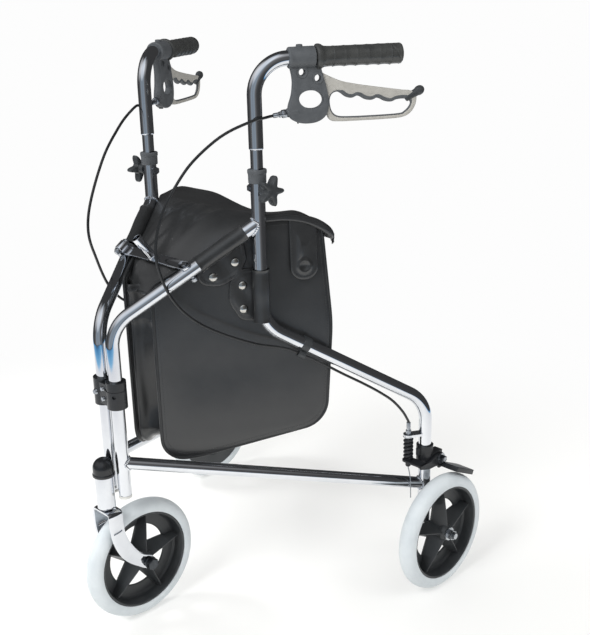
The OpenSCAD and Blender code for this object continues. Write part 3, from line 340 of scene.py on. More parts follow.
def bent(corners: Sequence[Sequence[float]], radii: Any, closed: bool = False, steps: int = 12) -> Array:
    """Straight runs joined by arcs: a corner is cut back by r tan(half its turn) and swung about its centre.

    Args:
        corners: corner points in a plane.
        radii: bend radius, one for all or one each.
        closed: whether the last corner leads to the first.
        steps: points on an arc.
    Returns:
        Points of the path, two columns.
    """
    p = np.asarray(corners, float)
    r = np.broadcast_to(np.asarray(radii, float), (len(p),))
    around = range(len(p)) if closed else range(1, len(p) - 1)
    runs = []
    for i in around:
        u, w = p[i] - p[i - 1], p[(i + 1) % len(p)] - p[i]
        u, w = u / np.linalg.norm(u), w / np.linalg.norm(w)
        turn = math.atan2(u[0] * w[1] - u[1] * w[0], u @ w)
        start = p[i] - u * r[i] * math.tan(abs(turn) / 2)
        centre = start + math.copysign(r[i], turn) * np.array([-u[1], u[0]])
        a = np.linspace(0, turn, steps)
        q = start - centre
        runs.append(centre + np.stack([q[0] * np.cos(a) - q[1] * np.sin(a),
                                       q[0] * np.sin(a) + q[1] * np.cos(a)], 1))
    if not closed:
        runs = [p[:1]] + runs + [p[-1:]]
    return np.vstack(runs)


def spline(points: Sequence[Sequence[float]], steps: int, closed: bool = False) -> Array:
    """Smooth curve through points: each span is the cubic whose slopes are half the chords beside it.

    Args:
        points: points that the curve passes.
        steps: points on a span.
        closed: whether the curve closes.
    Returns:
        Points of the curve.
    """
    p = np.asarray(points, float)
    p = np.vstack([p[-1:], p, p[:2]]) if closed else np.vstack([p[:1], p, p[-1:]])
    a, b, c, d = (p[i:len(p) - 3 + i, None, :] for i in range(4))
    t = (np.arange(steps) / steps)[None, :, None]
    curve = 0.5 * (2 * b + (c - a) * t + (2 * a - 5 * b + 4 * c - d) * t ** 2
                   + (3 * b - a - 3 * c + d) * t ** 3)
    curve = curve.reshape(-1, p.shape[1])
    return curve if closed else np.vstack([curve, p[-1:]])


def even(line: Array, count: int, closed: bool = False) -> Array:
    """The same line with evenly spaced points.

    Args:
        line: points of the line.
        count: points wanted.
        closed: whether the line closes.
    Returns:
        Points of the line.
    """
    if closed:
        line = np.vstack([line, line[:1]])
    far = np.concatenate([[0], np.cumsum(np.linalg.norm(np.diff(line, axis=0), axis=1))])
    along = np.linspace(0, far[-1], count, endpoint=not closed)
    return np.stack([np.interp(along, far, column) for column in line.T], 1)


def sweep(path: Array, radius: Any, across: Array, sides: int = 36, closed: bool = False) -> Array:
    """A round profile carried along a path: each ring turns about the path's heading.

    Args:
        path: points of the path.
        radius: radius, one for all or one for each point.
        across: direction that is never along the path.
        sides: points on a ring.
        closed: whether the path closes.
    Returns:
        Grid of points, rings by sides.
    """
    head = unit(np.roll(path, -1, 0) - np.roll(path, 1, 0) if closed else np.gradient(path, axis=0))
    n = unit(across - head * (head @ across)[:, None])
    b = np.cross(head, n)
    a = angles(sides)[None, :, None]
    r = np.broadcast_to(np.asarray(radius, float), (len(path),))[:, None, None]
    return path[:, None] + r * (np.cos(a) * n[:, None] + np.sin(a) * b[:, None])


def lathe(profile: Array, centre: Array, axis: Array, start: Array, sides: int = 64,
          shape: Optional[Array] = None) -> Array:
    """A profile turned round an axis: point = centre + h axis + r (cos start + sin side).

    Args:
        profile: radius and height of each point.
        centre: point on the axis.
        axis: unit direction of the axis.
        start: unit direction of angle zero, square to the axis.
        sides: points round the axis.
        shape: factor on the radius, profile points by sides.
    Returns:
        Grid of points, profile by sides.
    """
    a = angles(sides)
    ring = np.cos(a)[:, None] * start + np.sin(a)[:, None] * np.cross(axis, start)
    p = np.asarray(profile, float)
    r = p[:, :1] * (np.ones((len(p), sides)) if shape is None else shape)
    return centre + p[:, 1, None, None] * axis + r[..., None] * ring[None]


@dataclass
class Shell:
    """Grids of points in millimetres, gathered into one mesh."""

    points: list[Array] = field(default_factory=list)
    faces: list[list[int]] = field(default_factory=list)
    count: int = 0

    def grid(self, grid: Array, wrap: bool = False, loop: bool = False, caps: bool = False,
             keep: Optional[Array] = None) -> "Shell":
        """Adds a grid of points as quads.

        Args:
            grid: points, rows by columns.
            wrap: whether the columns close on themselves.
            loop: whether the rows close on themselves.
            caps: whether the first and last row get a face.
            keep: mask of the quads that stay.
        Returns:
            This shell.
        """
        n, m = grid.shape[:2]
        at = np.arange(n * m).reshape(n, m) + self.count
        rows = np.vstack([at, at[:1]]) if loop else at
        corners = quads(np.hstack([rows, rows[:, :1]]) if wrap else rows)
        self.faces += (corners.reshape(-1, 4) if keep is None else corners[keep]).tolist()
        if caps:
            self.faces += [at[0].tolist(), at[-1].tolist()[::-1]]
        self.points.append(grid.reshape(-1, 3))
        self.count += n * m
        return self

    def many(self, places: Array, form: Array) -> "Shell":
        """Adds one small closed form at many places.

        Args:
            places: frames, places by 4 by 3, rows are origin and three directions.
            form: grid of local points, rows by columns, columns close.
        Returns:
            This shell.
        """
        spots = places[:, None, None, 0] + np.einsum("rcj,pjk->prck", form, places[:, 1:])
        n, m = form.shape[:2]
        at = np.arange(n * m).reshape(n, m)
        corners = quads(np.hstack([at, at[:, :1]])).reshape(-1, 4)
        shift = (np.arange(len(places)) * n * m + self.count)[:, None, None]
        self.faces += (corners[None] + shift).reshape(-1, 4).tolist()
        self.points.append(spots.reshape(-1, 3))
        self.count += len(places) * n * m
        return self

    def loose(self, points: Array, faces: list[list[int]]) -> "Shell":
        """Adds points with faces of their own.

        Args:
            points: points, one a row.
            faces: numbers of the corners of each face.
        Returns:
            This shell.
        """
        self.faces += [[i + self.count for i in face] for face in faces]
        self.points.append(points)
        self.count += len(points)
        return self

    def make(self, name: str, finish: Finish, sharp: float = 40.0) -> bpy.types.Object:
        """Makes the object: doubles merged, faces turned outward, edges over an angle kept sharp.

        Args:
            name: object name.
            finish: surface finish.
            sharp: angle in degrees over which an edge stays sharp.
        Returns:
            The new object, at the origin.
        """
        mesh = bpy.data.meshes.new(name)
        mesh.from_pydata((np.concatenate(self.points) * MM).tolist(), [], self.faces)
        return finished(name, mesh, finish, sharp)

    def piece(self, name: str, finish: Finish, body: str, *nodes: str,
              sharp: float = 40.0) -> bpy.types.Object:
        """Makes the object and lets it ride on a body.

        Args:
            name: object name.
            finish: surface finish.
            body: body it rides on.
            nodes: solids that it stands for.
            sharp: angle in degrees over which an edge stays sharp.
        Returns:
            The new object.
        """
        return fit(self.make(name, finish, sharp), body, finish.slot, *nodes)


def finished(name: str, mesh: bpy.types.Mesh, finish: Finish, sharp: float) -> bpy.types.Object:
    """Merges doubles, turns faces outward, sets shading and finish, and links the object.

    Args:
        name: object name.
        mesh: its mesh, in place.
        finish: surface finish.
        sharp: angle in degrees over which an edge stays sharp.
    Returns:
        The new object.
    """
    work = bmesh.new()
    work.from_mesh(mesh)
    bmesh.ops.remove_doubles(work, verts=work.verts, dist=2e-6)
    bmesh.ops.dissolve_degenerate(work, edges=work.edges, dist=1e-6)
    bmesh.ops.recalc_face_normals(work, faces=work.faces)
    work.to_mesh(mesh)
    work.free()
    mesh.shade_smooth()
    mesh.set_sharp_from_angle(angle=math.radians(sharp))
    mesh.materials.clear()
    mesh.materials.append(finish.material())
    obj = bpy.data.objects.new(name, mesh)
    bpy.context.scene.collection.objects.link(obj)
    return obj


def plate(loops: Sequence[Array], thick: float, edge: float) -> tuple[Array, list[list[int]]]:
    """A flat plate with holes and rounded edges, as a filled flat curve made a mesh.

    Args:
        loops: outlines, the outer one and its holes.
        thick: thickness of the plate.
        edge: radius of its edges.
    Returns:
        Points with the plate's own x, y and height, and its faces.
    """
    curve = bpy.data.curves.new("outline", "CURVE")
    curve.dimensions, curve.fill_mode = "2D", "BOTH"
    curve.extrude, curve.bevel_depth = thick / 2 - edge, edge
    curve.bevel_resolution, curve.offset = 3, -edge
    for loop in loops:
        line = curve.splines.new("POLY")
        line.points.add(len(loop) - 1)
        line.points.foreach_set("co", np.hstack([loop, np.zeros((len(loop), 1)),
                                                 np.ones((len(loop), 1))]).ravel())
        line.use_cyclic_u = True
    stand = bpy.data.objects.new("outline", curve)
    bpy.context.scene.collection.objects.link(stand)
    graph = bpy.context.evaluated_depsgraph_get()
    mesh = bpy.data.meshes.new_from_object(stand.evaluated_get(graph))
    points = np.empty(len(mesh.vertices) * 3)
    mesh.vertices.foreach_get("co", points)
    faces = [list(p.vertices) for p in mesh.polygons]
    bpy.data.objects.remove(stand)
    bpy.data.curves.remove(curve)
    bpy.data.meshes.remove(mesh)
    return points.reshape(-1, 3), faces


def fit(obj: bpy.types.Object, body: str, slot: str, *nodes: str) -> bpy.types.Object:
    """Lets a piece ride on a body and stand for its solids.

    Args:
        obj: the piece.
        body: body it rides on.
        slot: material slot of the record, not used.
        nodes: solids that it stands for.
    Returns:
        The piece.
    """
    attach(obj, body)
    if nodes:
        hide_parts(*nodes)
    log.info("%s rides on %s", obj.name, body)
    return obj


def solid(obj: bpy.types.Object, thick: float, offset: float = -1.0) -> bpy.types.Object:
    """Gives a sheet its thickness with a Solidify modifier.

    Args:
        obj: the sheet.
        thick: thickness in millimetres.
        offset: side of the sheet that the wall grows to, from -1 to 1.
    Returns:
        The sheet.
    """
    wall = obj.modifiers.new("thickness", "SOLIDIFY")
    wall.thickness, wall.offset = thick * MM, offset
    return obj


def applied(obj: bpy.types.Object) -> bpy.types.Object:
    """Makes the modifiers of a piece part of its mesh.

    Args:
        obj: the piece.
    Returns:
        The piece.
    """
    graph = bpy.context.evaluated_depsgraph_get()
    old = obj.data
    obj.data = bpy.data.meshes.new_from_object(obj.evaluated_get(graph))
    obj.data.name = obj.name
    obj.modifiers.clear()
    bpy.data.meshes.remove(old)
    return obj


def coat(finish: Finish, *nodes: str) -> None:
    """Gives solids that stay as they are a finish.

    Args:
        finish: surface finish.
        nodes: node names.
    """
    for node in nodes:
        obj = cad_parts[node]
        for part in obj.material_slots:
            part.material = finish.material()
        log.info("%s keeps its solid, in %s", node, finish.name)


# Sub-assemblies

@dataclass
class SidePart:
    """What the parts of one side share: the layout, and the side that they belong to."""

    layout: Layout
    side: Side

    def name(self, word: str) -> str:
        """Name of a piece, node or body of this side."""
        return f"{self.side.word}_{word}"

    def place(self, t: Any, s: Any, z: Any) -> Array:
        """Points from the distances of this side's frame."""
        return self.layout.place(self.side, t, s, z)

    @property
    def out(self) -> Array:
        """Unit vector outward from this side's frame."""
        return self.layout.outward(self.side)

    @property
    def back(self) -> Array:
        """Unit vector back along this side's frame."""
        return self.layout.back(self.side)


@dataclass
class TubeFrame(SidePart):
    """Welded tubes of one side frame."""

    front_r: float = 10.1
    rear_r: float = 10.6
    rail_r: float = 9.6
    bend: float = 58.0
    front: Sequence = ((0, 233), (0, 505), (226, 643))
    rear: Sequence = ((226, 712), (226, 485), (492, 324), (492, 84))
    rail: Sequence = ((0, 287), (492, 175))
    bead: float = 2.1
    tab: Sequence = ((455, -8), (486, -8), (486, 8), (455, 8))
    tab_z: tuple[float, float] = (265.0, 269.0)

    def tube(self, corners: Sequence, radius: float) -> Array:
        """Grid of a tube bent in the frame plane, its ends slightly broken.

        Args:
            corners: frame distance and height of its corners.
            radius: radius of the tube.
        Returns:
            Grid of points, rings by sides.
        """
        line = bent(corners, self.bend, steps=44)
        first, last = line[1] - line[0], line[-1] - line[-2]
        first, last = first / np.linalg.norm(first), last / np.linalg.norm(last)
        line = np.vstack([line[:1], line[:1] + 0.8 * first, line[:1] + 2.4 * first, line[1:-1],
                          line[-1:] - 2.4 * last, line[-1:] - 0.8 * last, line[-1:]])
        r = np.full(len(line), radius)
        r[[0, -1]] -= 0.7
        path = self.place(0, line[:, 0], line[:, 1])
        return sweep(path, r, self.out, 64)

    def weld(self, foot: Sequence[float], toward: Sequence[float], radius: float, wall: float) -> Array:
        """Bead where a tube meets an upright one.

        It lies on the tube's skin, where (s - s0)^2 + t^2 is the square of the upright tube's radius.

        Args:
            foot: point on the tube's axis at the upright tube's axis.
            toward: direction of the tube away from the upright one.
            radius: radius of the tube.
            wall: radius of the upright tube.
        Returns:
            Grid of the bead, rings by sides.
        """
        d = np.asarray(toward, float) / np.linalg.norm(toward)
        a = angles(120)
        t, lift = radius * np.sin(a), radius * np.cos(a)
        deep = math.copysign(1, d[0]) * np.sqrt(wall ** 2 - np.minimum(t ** 2, wall ** 2 - 0.2))
        run = (deep + lift * d[1]) / d[0]
        s, z = foot[0] + run * d[0] - lift * d[1], foot[1] + run * d[1] + lift * d[0]
        path = self.place(t, s, z)
        return sweep(path, self.bead + 0.35 * np.sin(30 * a), self.back + 0.7 * UP, 10, True)

    def build(self) -> None:
        """Builds the tubes with their weld beads and the stop tab for the cable."""
        shell = Shell()
        for corners, radius in ((self.front, self.front_r), (self.rear, self.rear_r),
                                (self.rail, self.rail_r)):
            shell.grid(self.tube(corners, radius), wrap=True, caps=True)
        for foot, other, radius, wall in ((self.front[2], self.front[1], self.front_r, self.rear_r),
                                          (self.rail[0], self.rail[1], self.rail_r, self.front_r),
                                          (self.rail[1], self.rail[0], self.rail_r, self.rear_r)):
            shell.grid(self.weld(foot, np.subtract(other, foot), radius, wall), wrap=True, loop=True)
        tab = bent(self.tab, (7, 1, 1, 7), True, 8)
        lift = np.array(self.tab_z)[:, None]
        shell.grid(self.place(tab[None, :, 1], tab[None, :, 0], lift), wrap=True, caps=True)
        node = self.name("frame")
        shell.piece(self.name("frame_tubes"), CHROME, node, node, sharp=50)
        coat(NYLON, self.name("tube_plugs"))


@dataclass
class Handle(SidePart):
    """Bent handle tube with collar, star knob, grip, brake housing and loop lever of one side."""

    grip_z: float = 874.0
    tube_r: float = 10.6
    bend: float = 50.0
    knob_z: float = 692.0
    knob_r: float = 23.0
    knob_waist: float = 11.0
    knob_turn: float = 14.0
    rib_first: float = 341.0
    rib_last: float = 427.0
    rib_pitch: float = 17.2
    pin_r: float = 5.6
    cheek_t: float = 2.8
    cheek_mid: float = 4.8
    lever_t: float = 6.6
    path: Sequence = ((226, 749), (226, 874), (444, 874))
    housing: Sequence = ((277, -6), (279, -14), (281.5, -26), (282, -37), (280, -52), (275.5, -66),
                         (274.5, -76), (279, -85), (288, -90), (300, -92), (314, -91), (325, -86),
                         (332, -77), (334, -61), (331, -44), (326, -26), (321, -10), (312, -4))
    window: tuple[float, float, float, float] = (308.0, -58.5, 18.2, 12.8)
    pins: Sequence = ((295, -20), (318, -29))
    lever: Sequence = ((310, -32), (312, -22), (322, -20.5), (334, -26.5), (354, -35), (378, -40.5),
                       (404, -45), (432, -49.5), (448, -52), (460, -53.5), (467, -58), (468.5, -67),
                       (465, -78), (457, -87), (444, -91.5), (420, -92.5), (390, -92.5), (350, -92),
                       (336, -89), (330, -76), (326, -52), (320, -39))
    loop: Sequence = ((334.5, -62), (338, -52), (346, -48), (354, -49.5), (361, -54.5), (369, -56.5),
                      (376, -54), (382, -55), (390, -59.5), (399, -61), (406, -58.5), (412, -59.5),
                      (420, -63.5), (429, -65), (436, -62.5), (446, -61.5), (456, -63), (461, -69),
                      (458.5, -77), (451, -84), (441, -87.2), (400, -87.8), (362, -87.2), (346, -85),
                      (337.5, -77))

    def at(self, t: Any, s: Any, z: Any) -> Array:
        """Points from distances measured from the grip line."""
        return self.place(t, s, self.grip_z + np.asarray(z, float))

    def tube(self) -> None:
        """Builds the bent tube with a broken lower edge and dresses the sliding post."""
        line = bent(self.path, self.bend, steps=56)
        line = np.vstack([line[:1], line[:1] + (0, 1.2), line[:1] + (0, 3.0), line[1:]])
        r = np.full(len(line), self.tube_r)
        r[0] -= 1.2
        path = self.place(0, line[:, 0], line[:, 1])
        shell = Shell().grid(sweep(path, r, self.out, 64), wrap=True, caps=True)
        shell.piece(self.name("handle_bend"), CHROME, self.name("handle"), self.name("handle_tube"),
                    sharp=50)
        coat(CHROME, self.name("handle_post"))

    def collar(self) -> None:
        """Builds the collar: a turned band with a rolled upper lip."""
        form = bent(((9.1, 701), (13.2, 701), (13.4, 714), (14.2, 716), (14.2, 721), (9.1, 721)),
                    (0, 1.2, 1.2, 1.2, 1.4, 0), steps=6)
        centre = self.place(0, self.layout.handle_s, 0)
        shell = Shell().grid(lathe(form, centre, UP, ACROSS), wrap=True, loop=True)
        fit(shell.make(self.name("socket_collar"), HOUSING), self.name("frame"), MOULDED.slot,
            self.name("collar"))

    def knob(self) -> None:
        """Builds the star knob: radius waist + (tip - waist) (half of 1 + cos 5a)^2, with crowned faces."""
        axis = ACROSS * self.side.value
        centre = self.place(0, self.layout.handle_s, self.knob_z)
        a = angles(120) - math.radians(self.knob_turn)
        lobe = (0.5 + 0.5 * np.cos(5 * a)) ** 2.0
        star = (self.knob_waist + (self.knob_r - self.knob_waist) * lobe) / self.knob_r
        face = np.array([(0.0, 35.4), (6, 35.3), (12, 35), (19, 34.2), (22, 33), (23, 31), (23, 24.5),
                         (22, 21.8), (20, 20.8), (0, 20.6)])
        grow = np.clip(face[:, :1] / self.knob_r, 0, 1) ** 0.5
        shape = star[None] * grow + (1 - grow) * 0.62
        shell = Shell().grid(lathe(face, centre, axis, -UP, 120, shape), wrap=True)
        neck = np.array([(0, 10.9), (8.2, 10.9), (8.6, 12), (8.9, 20), (9.5, 21.5), (0, 21.6)])
        shell.grid(lathe(neck, centre, axis, -UP, 40), wrap=True)
        shell.piece(self.name("clamp_star"), MOULDED, self.name("knob"), self.name("star_knob"))
        coat(ZINC, self.name("knob_bolt"))

    def grip(self) -> None:
        """Builds the grip: a turned form with finger hollows between ribs, deeper below, and a seam."""
        s = np.concatenate([[316, 316.3, 317.2, 319, 321.5, 324, 326, 328.5], np.linspace(331, 441, 150),
                            [442, 443, 444, 444.8, 445.2, 445.3]])
        r = np.interp(s, [316, 316.3, 317.2, 319, 321.5, 324, 326, 328.5, 334, 400, 432, 441, 443, 444.3,
                          445.2, 445.3], [12, 16.2, 17.6, 18.1, 18, 17.1, 15.7, 14.6, 14.2, 14.5, 14.8,
                                          14.8, 14.3, 13.2, 10.5, 0])
        a = angles(72)
        under = 0.45 + 0.55 * (0.5 - 0.5 * np.cos(a))
        rib = np.abs(np.sin((s - self.rib_first) / self.rib_pitch * np.pi)) ** 0.5
        facet = np.where((s > self.rib_first) & (s < self.rib_last), 1 - rib, 0)
        slant = s[:, None] + 9 * np.cos(a)[None]
        seam = 0.05 * np.exp(-((slant - 436) / 0.8) ** 2) * (s < 445)[:, None]
        span = ease(s, 332, self.rib_first)[:, None]
        shape = 1 + (0.09 * facet[:, None] - 0.03) * under[None] * span * (s < 440)[:, None] - seam
        grid = lathe(np.stack([r, s], 1), self.at(0, 0, 0), self.back, UP, 72, shape)
        shell = Shell().grid(grid, wrap=True)
        shell.piece(self.name("finger_grip"), GRIP, self.name("handle"), self.name("grip"), sharp=50)

    def brake_housing(self) -> None:
        """Builds the housing: two cheeks and a core from one outline, the clamp band and its screw boss."""
        x, z, a, b = self.window
        k = angles(48)
        tilt = math.radians(-8)
        oval = np.stack([x + a * np.cos(k) * math.cos(tilt) - b * np.sin(k) * math.sin(tilt),
                         z + a * np.cos(k) * math.sin(tilt) + b * np.sin(k) * math.cos(tilt)], 1)
        holes = [hole(p, self.pin_r, 48) for p in self.pins]
        outline = spline(self.housing, 6, True)
        core = np.stack([np.minimum(outline[:, 0], 288.5), outline[:, 1]], 1)
        shell = Shell()
        cheek = (outline, oval, *holes)
        for loops, thick, middle, edge in ((cheek, self.cheek_t, self.cheek_mid, 0.9),
                                           (cheek, self.cheek_t, -self.cheek_mid, 0.9),
                                           ((core,), 7.4, 0.0, 0.2)):
            flat, faces = plate(loops, thick, edge)
            shell.loose(self.at(flat[:, 2] + middle, flat[:, 0], flat[:, 1]), faces)
        rim = (oval - (x, z)) * 1.07 + (x, z)
        wall = np.stack([oval, oval, rim, rim])
        shell.grid(self.at(np.array([5.4, -5.4, -5.4, 5.4])[:, None], wall[..., 0], wall[..., 1]),
                   wrap=True, loop=True)
        band = bent(((10.6, 276), (15.0, 276), (15.4, 315.2), (10.6, 315.2)), (0, 2.2, 2.2, 0), steps=6)
        shell.grid(lathe(band, self.at(0, 0, 0), self.back, UP, 56), wrap=True, loop=True)
        boss = bent(((0, 10), (5.2, 10), (4.6, 18.2), (0, 18.2)), (0, 0, 1.6, 0), steps=6)
        shell.grid(lathe(boss, self.at(0, 293, 0), UP, self.out, 32), wrap=True)
        snout = bent(((4.2, 2), (7.0, 2), (6.3, 18), (4.2, 18)), (0, 0, 1.5, 0), steps=6)
        lean = math.radians(97)
        axis = -self.back * math.sin(lean) + UP * math.cos(lean)
        shell.grid(lathe(snout, self.at(0, 290, -74), axis, self.out, 32), wrap=True, loop=True)
        shell.piece(self.name("brake_body"), HOUSING, self.name("handle"), self.name("brake_housing"),
                    sharp=35)
        self.fittings(axis)

    def fittings(self, axis: Array) -> None:
        """Builds the two hollow pins with their rolled rims and the barrel adjuster.

        Args:
            axis: direction of the adjuster away from the housing.
        """
        rim = bent(((4.9, -6.4), (8.2, -7.2), (8.2, -6.1), (5.6, -5.9), (5.6, 5.9), (8.2, 6.1), (8.2, 7.2),
                    (4.9, 6.4)), (0.5, 0.5, 0.5, 0.3, 0.3, 0.5, 0.5, 0.5), True, 5)
        shell = Shell()
        for s, z in self.pins:
            shell.grid(lathe(rim, self.at(0, s, z), self.out, UP, 40), wrap=True, loop=True)
        shell.piece(self.name("hollow_pins"), HOUSING, self.name("handle"), self.name("brake_fittings"))
        h = np.array([10, 19, 19.6, 21, 26, 27.2, 27.6, 31, 31.6, 39, 40, 40.0])
        r = np.array([3.9, 3.9, 5.0, 6, 6, 5.4, 4.3, 4.3, 3.5, 3.5, 2.8, 0])
        a = angles(96)
        knurl = 1 - 0.05 * (0.5 + 0.5 * np.cos(16 * a))[None] * ((h > 20) & (h < 27))[:, None]
        barrel = lathe(np.stack([r, h], 1), self.at(0, 292, -74), axis, self.out, 96, knurl)
        shell = Shell().grid(barrel, wrap=True, caps=True)
        shell.piece(self.name("cable_adjuster"), ZINC, self.name("handle"))

    def brake_lever(self) -> None:
        """Builds the loop lever from outline, finger side and pivot hole, with a dark strip of painted shade
        along the finger side, and the ball tip.
        """
        pivot = hole(self.pins[1], self.pin_r, 32)
        line = spline(self.loop, 5, True)
        flat, faces = plate((spline(self.lever, 5, True), line, pivot), self.lever_t, 1.9)
        shell = Shell().loose(self.at(flat[:, 2], flat[:, 0], flat[:, 1]), faces)
        shell.piece(self.name("loop_lever"), ALLOY, self.name("lever"), self.name("brake_lever"), sharp=35)
        # Painted shade: a dark strip round the finger side, thickest under the top bar where shade falls.
        thick = ease(line[:, 1], -72, -64) * ease(line[:, 0], 345, 356)
        path = self.at(0, line[:, 0], line[:, 1] + 0.6 * thick)
        painted_shade_strip = sweep(path, 1.9 + 1.9 * thick, self.out, 16, True)
        shell = Shell().grid(painted_shade_strip, wrap=True, loop=True)
        shell.piece(self.name("lever_lining"), HOUSING, self.name("lever"))
        a = np.linspace(0, np.pi, 18)
        tip = np.stack([7.0 * np.sin(a), -8.2 * np.cos(a)], 1)
        stalk = bent(((0, -24), (4.4, -24), (6.2, 0), (0, 0)), (0, 1.6, 0.8, 0), steps=4)
        lean = self.back * math.cos(0.5) + UP * math.sin(0.5)
        centre = self.at(0, 473, -54)
        shell = Shell().grid(lathe(tip, centre, lean, self.out, 32), wrap=True)
        shell.grid(lathe(stalk, centre, lean, self.out, 32), wrap=True)
        shell.piece(self.name("lever_tip"), MOULDED, self.name("lever"))

    def build(self) -> None:
        """Builds every piece of the handle."""
        self.tube()
        self.collar()
        self.knob()
        self.grip()
        self.brake_housing()
        self.brake_lever()


@dataclass
class Wheel:
    """Cast tyre on a moulded hub with five ridged star spokes."""

    name: str
    body: str
    centre: tuple[float, float, float]
    turn: float = 0.0
    face: float = 1.0
    radius: float = 100.0
    tyre_r: float = 14.5
    rim_r: float = 80.0
    spokes: int = 5
    spoke_in: float = 8.0
    spoke_out: float = 73.0
    spoke_wide: float = 16.0
    spoke_high: float = 14.5

    def tyre(self) -> None:
        """Builds the tyre: a round section, cut where it sits on the rim."""
        mid = self.radius - self.tyre_r
        cut = math.acos((self.rim_r - mid) / self.tyre_r)
        a = np.linspace(-cut, cut, 33)
        section = np.stack([mid + self.tyre_r * np.cos(a), self.tyre_r * np.sin(a)], 1)
        grid = lathe(section, np.array(self.centre), ACROSS, UP, 120)
        shell = Shell().grid(grid, wrap=True, loop=True)
        shell.piece(f"{self.name}_cast_tyre", TYRE, self.body, f"{self.name}_tyre")

    def spoke(self, angle: float) -> Array:
        """One spoke: a roof whose half width falls by 12.5 mm and its ridge by 9 mm from hub to rim.

        Args:
            angle: turn of the spoke from upright, in radians.
        Returns:
            Grid of points, along the spoke by its six corners.
        """
        far = np.linspace(self.spoke_in, self.spoke_out, 16)
        k = (far - self.spoke_in) / (self.spoke_out - self.spoke_in)
        wide, ridge = self.spoke_wide - 12.5 * k, self.face * (self.spoke_high - 9.0 * k ** 1.2)
        low, back = self.face * (-7.5 + 0 * k), self.face * (-12.0 + 0 * k)
        thin = 0.6 + 0 * k
        side = np.stack([-wide, -wide, -thin, thin, wide, wide], 1)
        lift = np.stack([back, low, ridge, ridge, low, back], 1)
        out = math.cos(angle) * UP + math.sin(angle) * BACK
        flank = -math.sin(angle) * UP + math.cos(angle) * BACK
        return (np.array(self.centre) + far[:, None, None] * out + side[..., None] * flank
                + lift[..., None] * ACROSS)

    def hub(self) -> None:
        """Builds the hub: a turned barrel with a web at its inner side, five roofed spokes and the boss."""
        corners = ((79.95, 12.2), (77.8, 12.9), (76.2, 11.8), (75.0, 3.0), (73.8, -5.0), (71.0, -8.2),
                   (53.5, -8.6), (51.5, -10.3), (53.5, -12.4), (72.0, -12.6), (77.0, -13.0), (79.95, -12.2))
        radii = (0.2, 0.7, 0.7, 3, 3, 3, 1.0, 0.9, 1.0, 1.0, 0.8, 0.2)
        rim = bent(corners, radii, True, 5) * (1, self.face)
        centre = np.array(self.centre)
        shell = Shell().grid(lathe(rim, centre, ACROSS, UP, 120), wrap=True, loop=True)
        for i in range(self.spokes):
            shell.grid(self.spoke(math.radians(self.turn + 360 / self.spokes * i)), wrap=True, caps=True)
        boss = bent(((5.1, -17), (12, -17), (14.5, -11), (14.5, 11), (11, 16.6), (5.1, 16.6)),
                    (0.3, 1.5, 3, 3, 1.5, 0.3), True, 6)
        shell.grid(lathe(boss * (1, self.face), centre, ACROSS, UP, 64), wrap=True, loop=True)
        shell.piece(f"{self.name}_star_hub", MOULDED, self.body, f"{self.name}_hub", sharp=24)

    def build(self) -> None:
        """Builds tyre and hub."""
        self.tyre()
        self.hub()


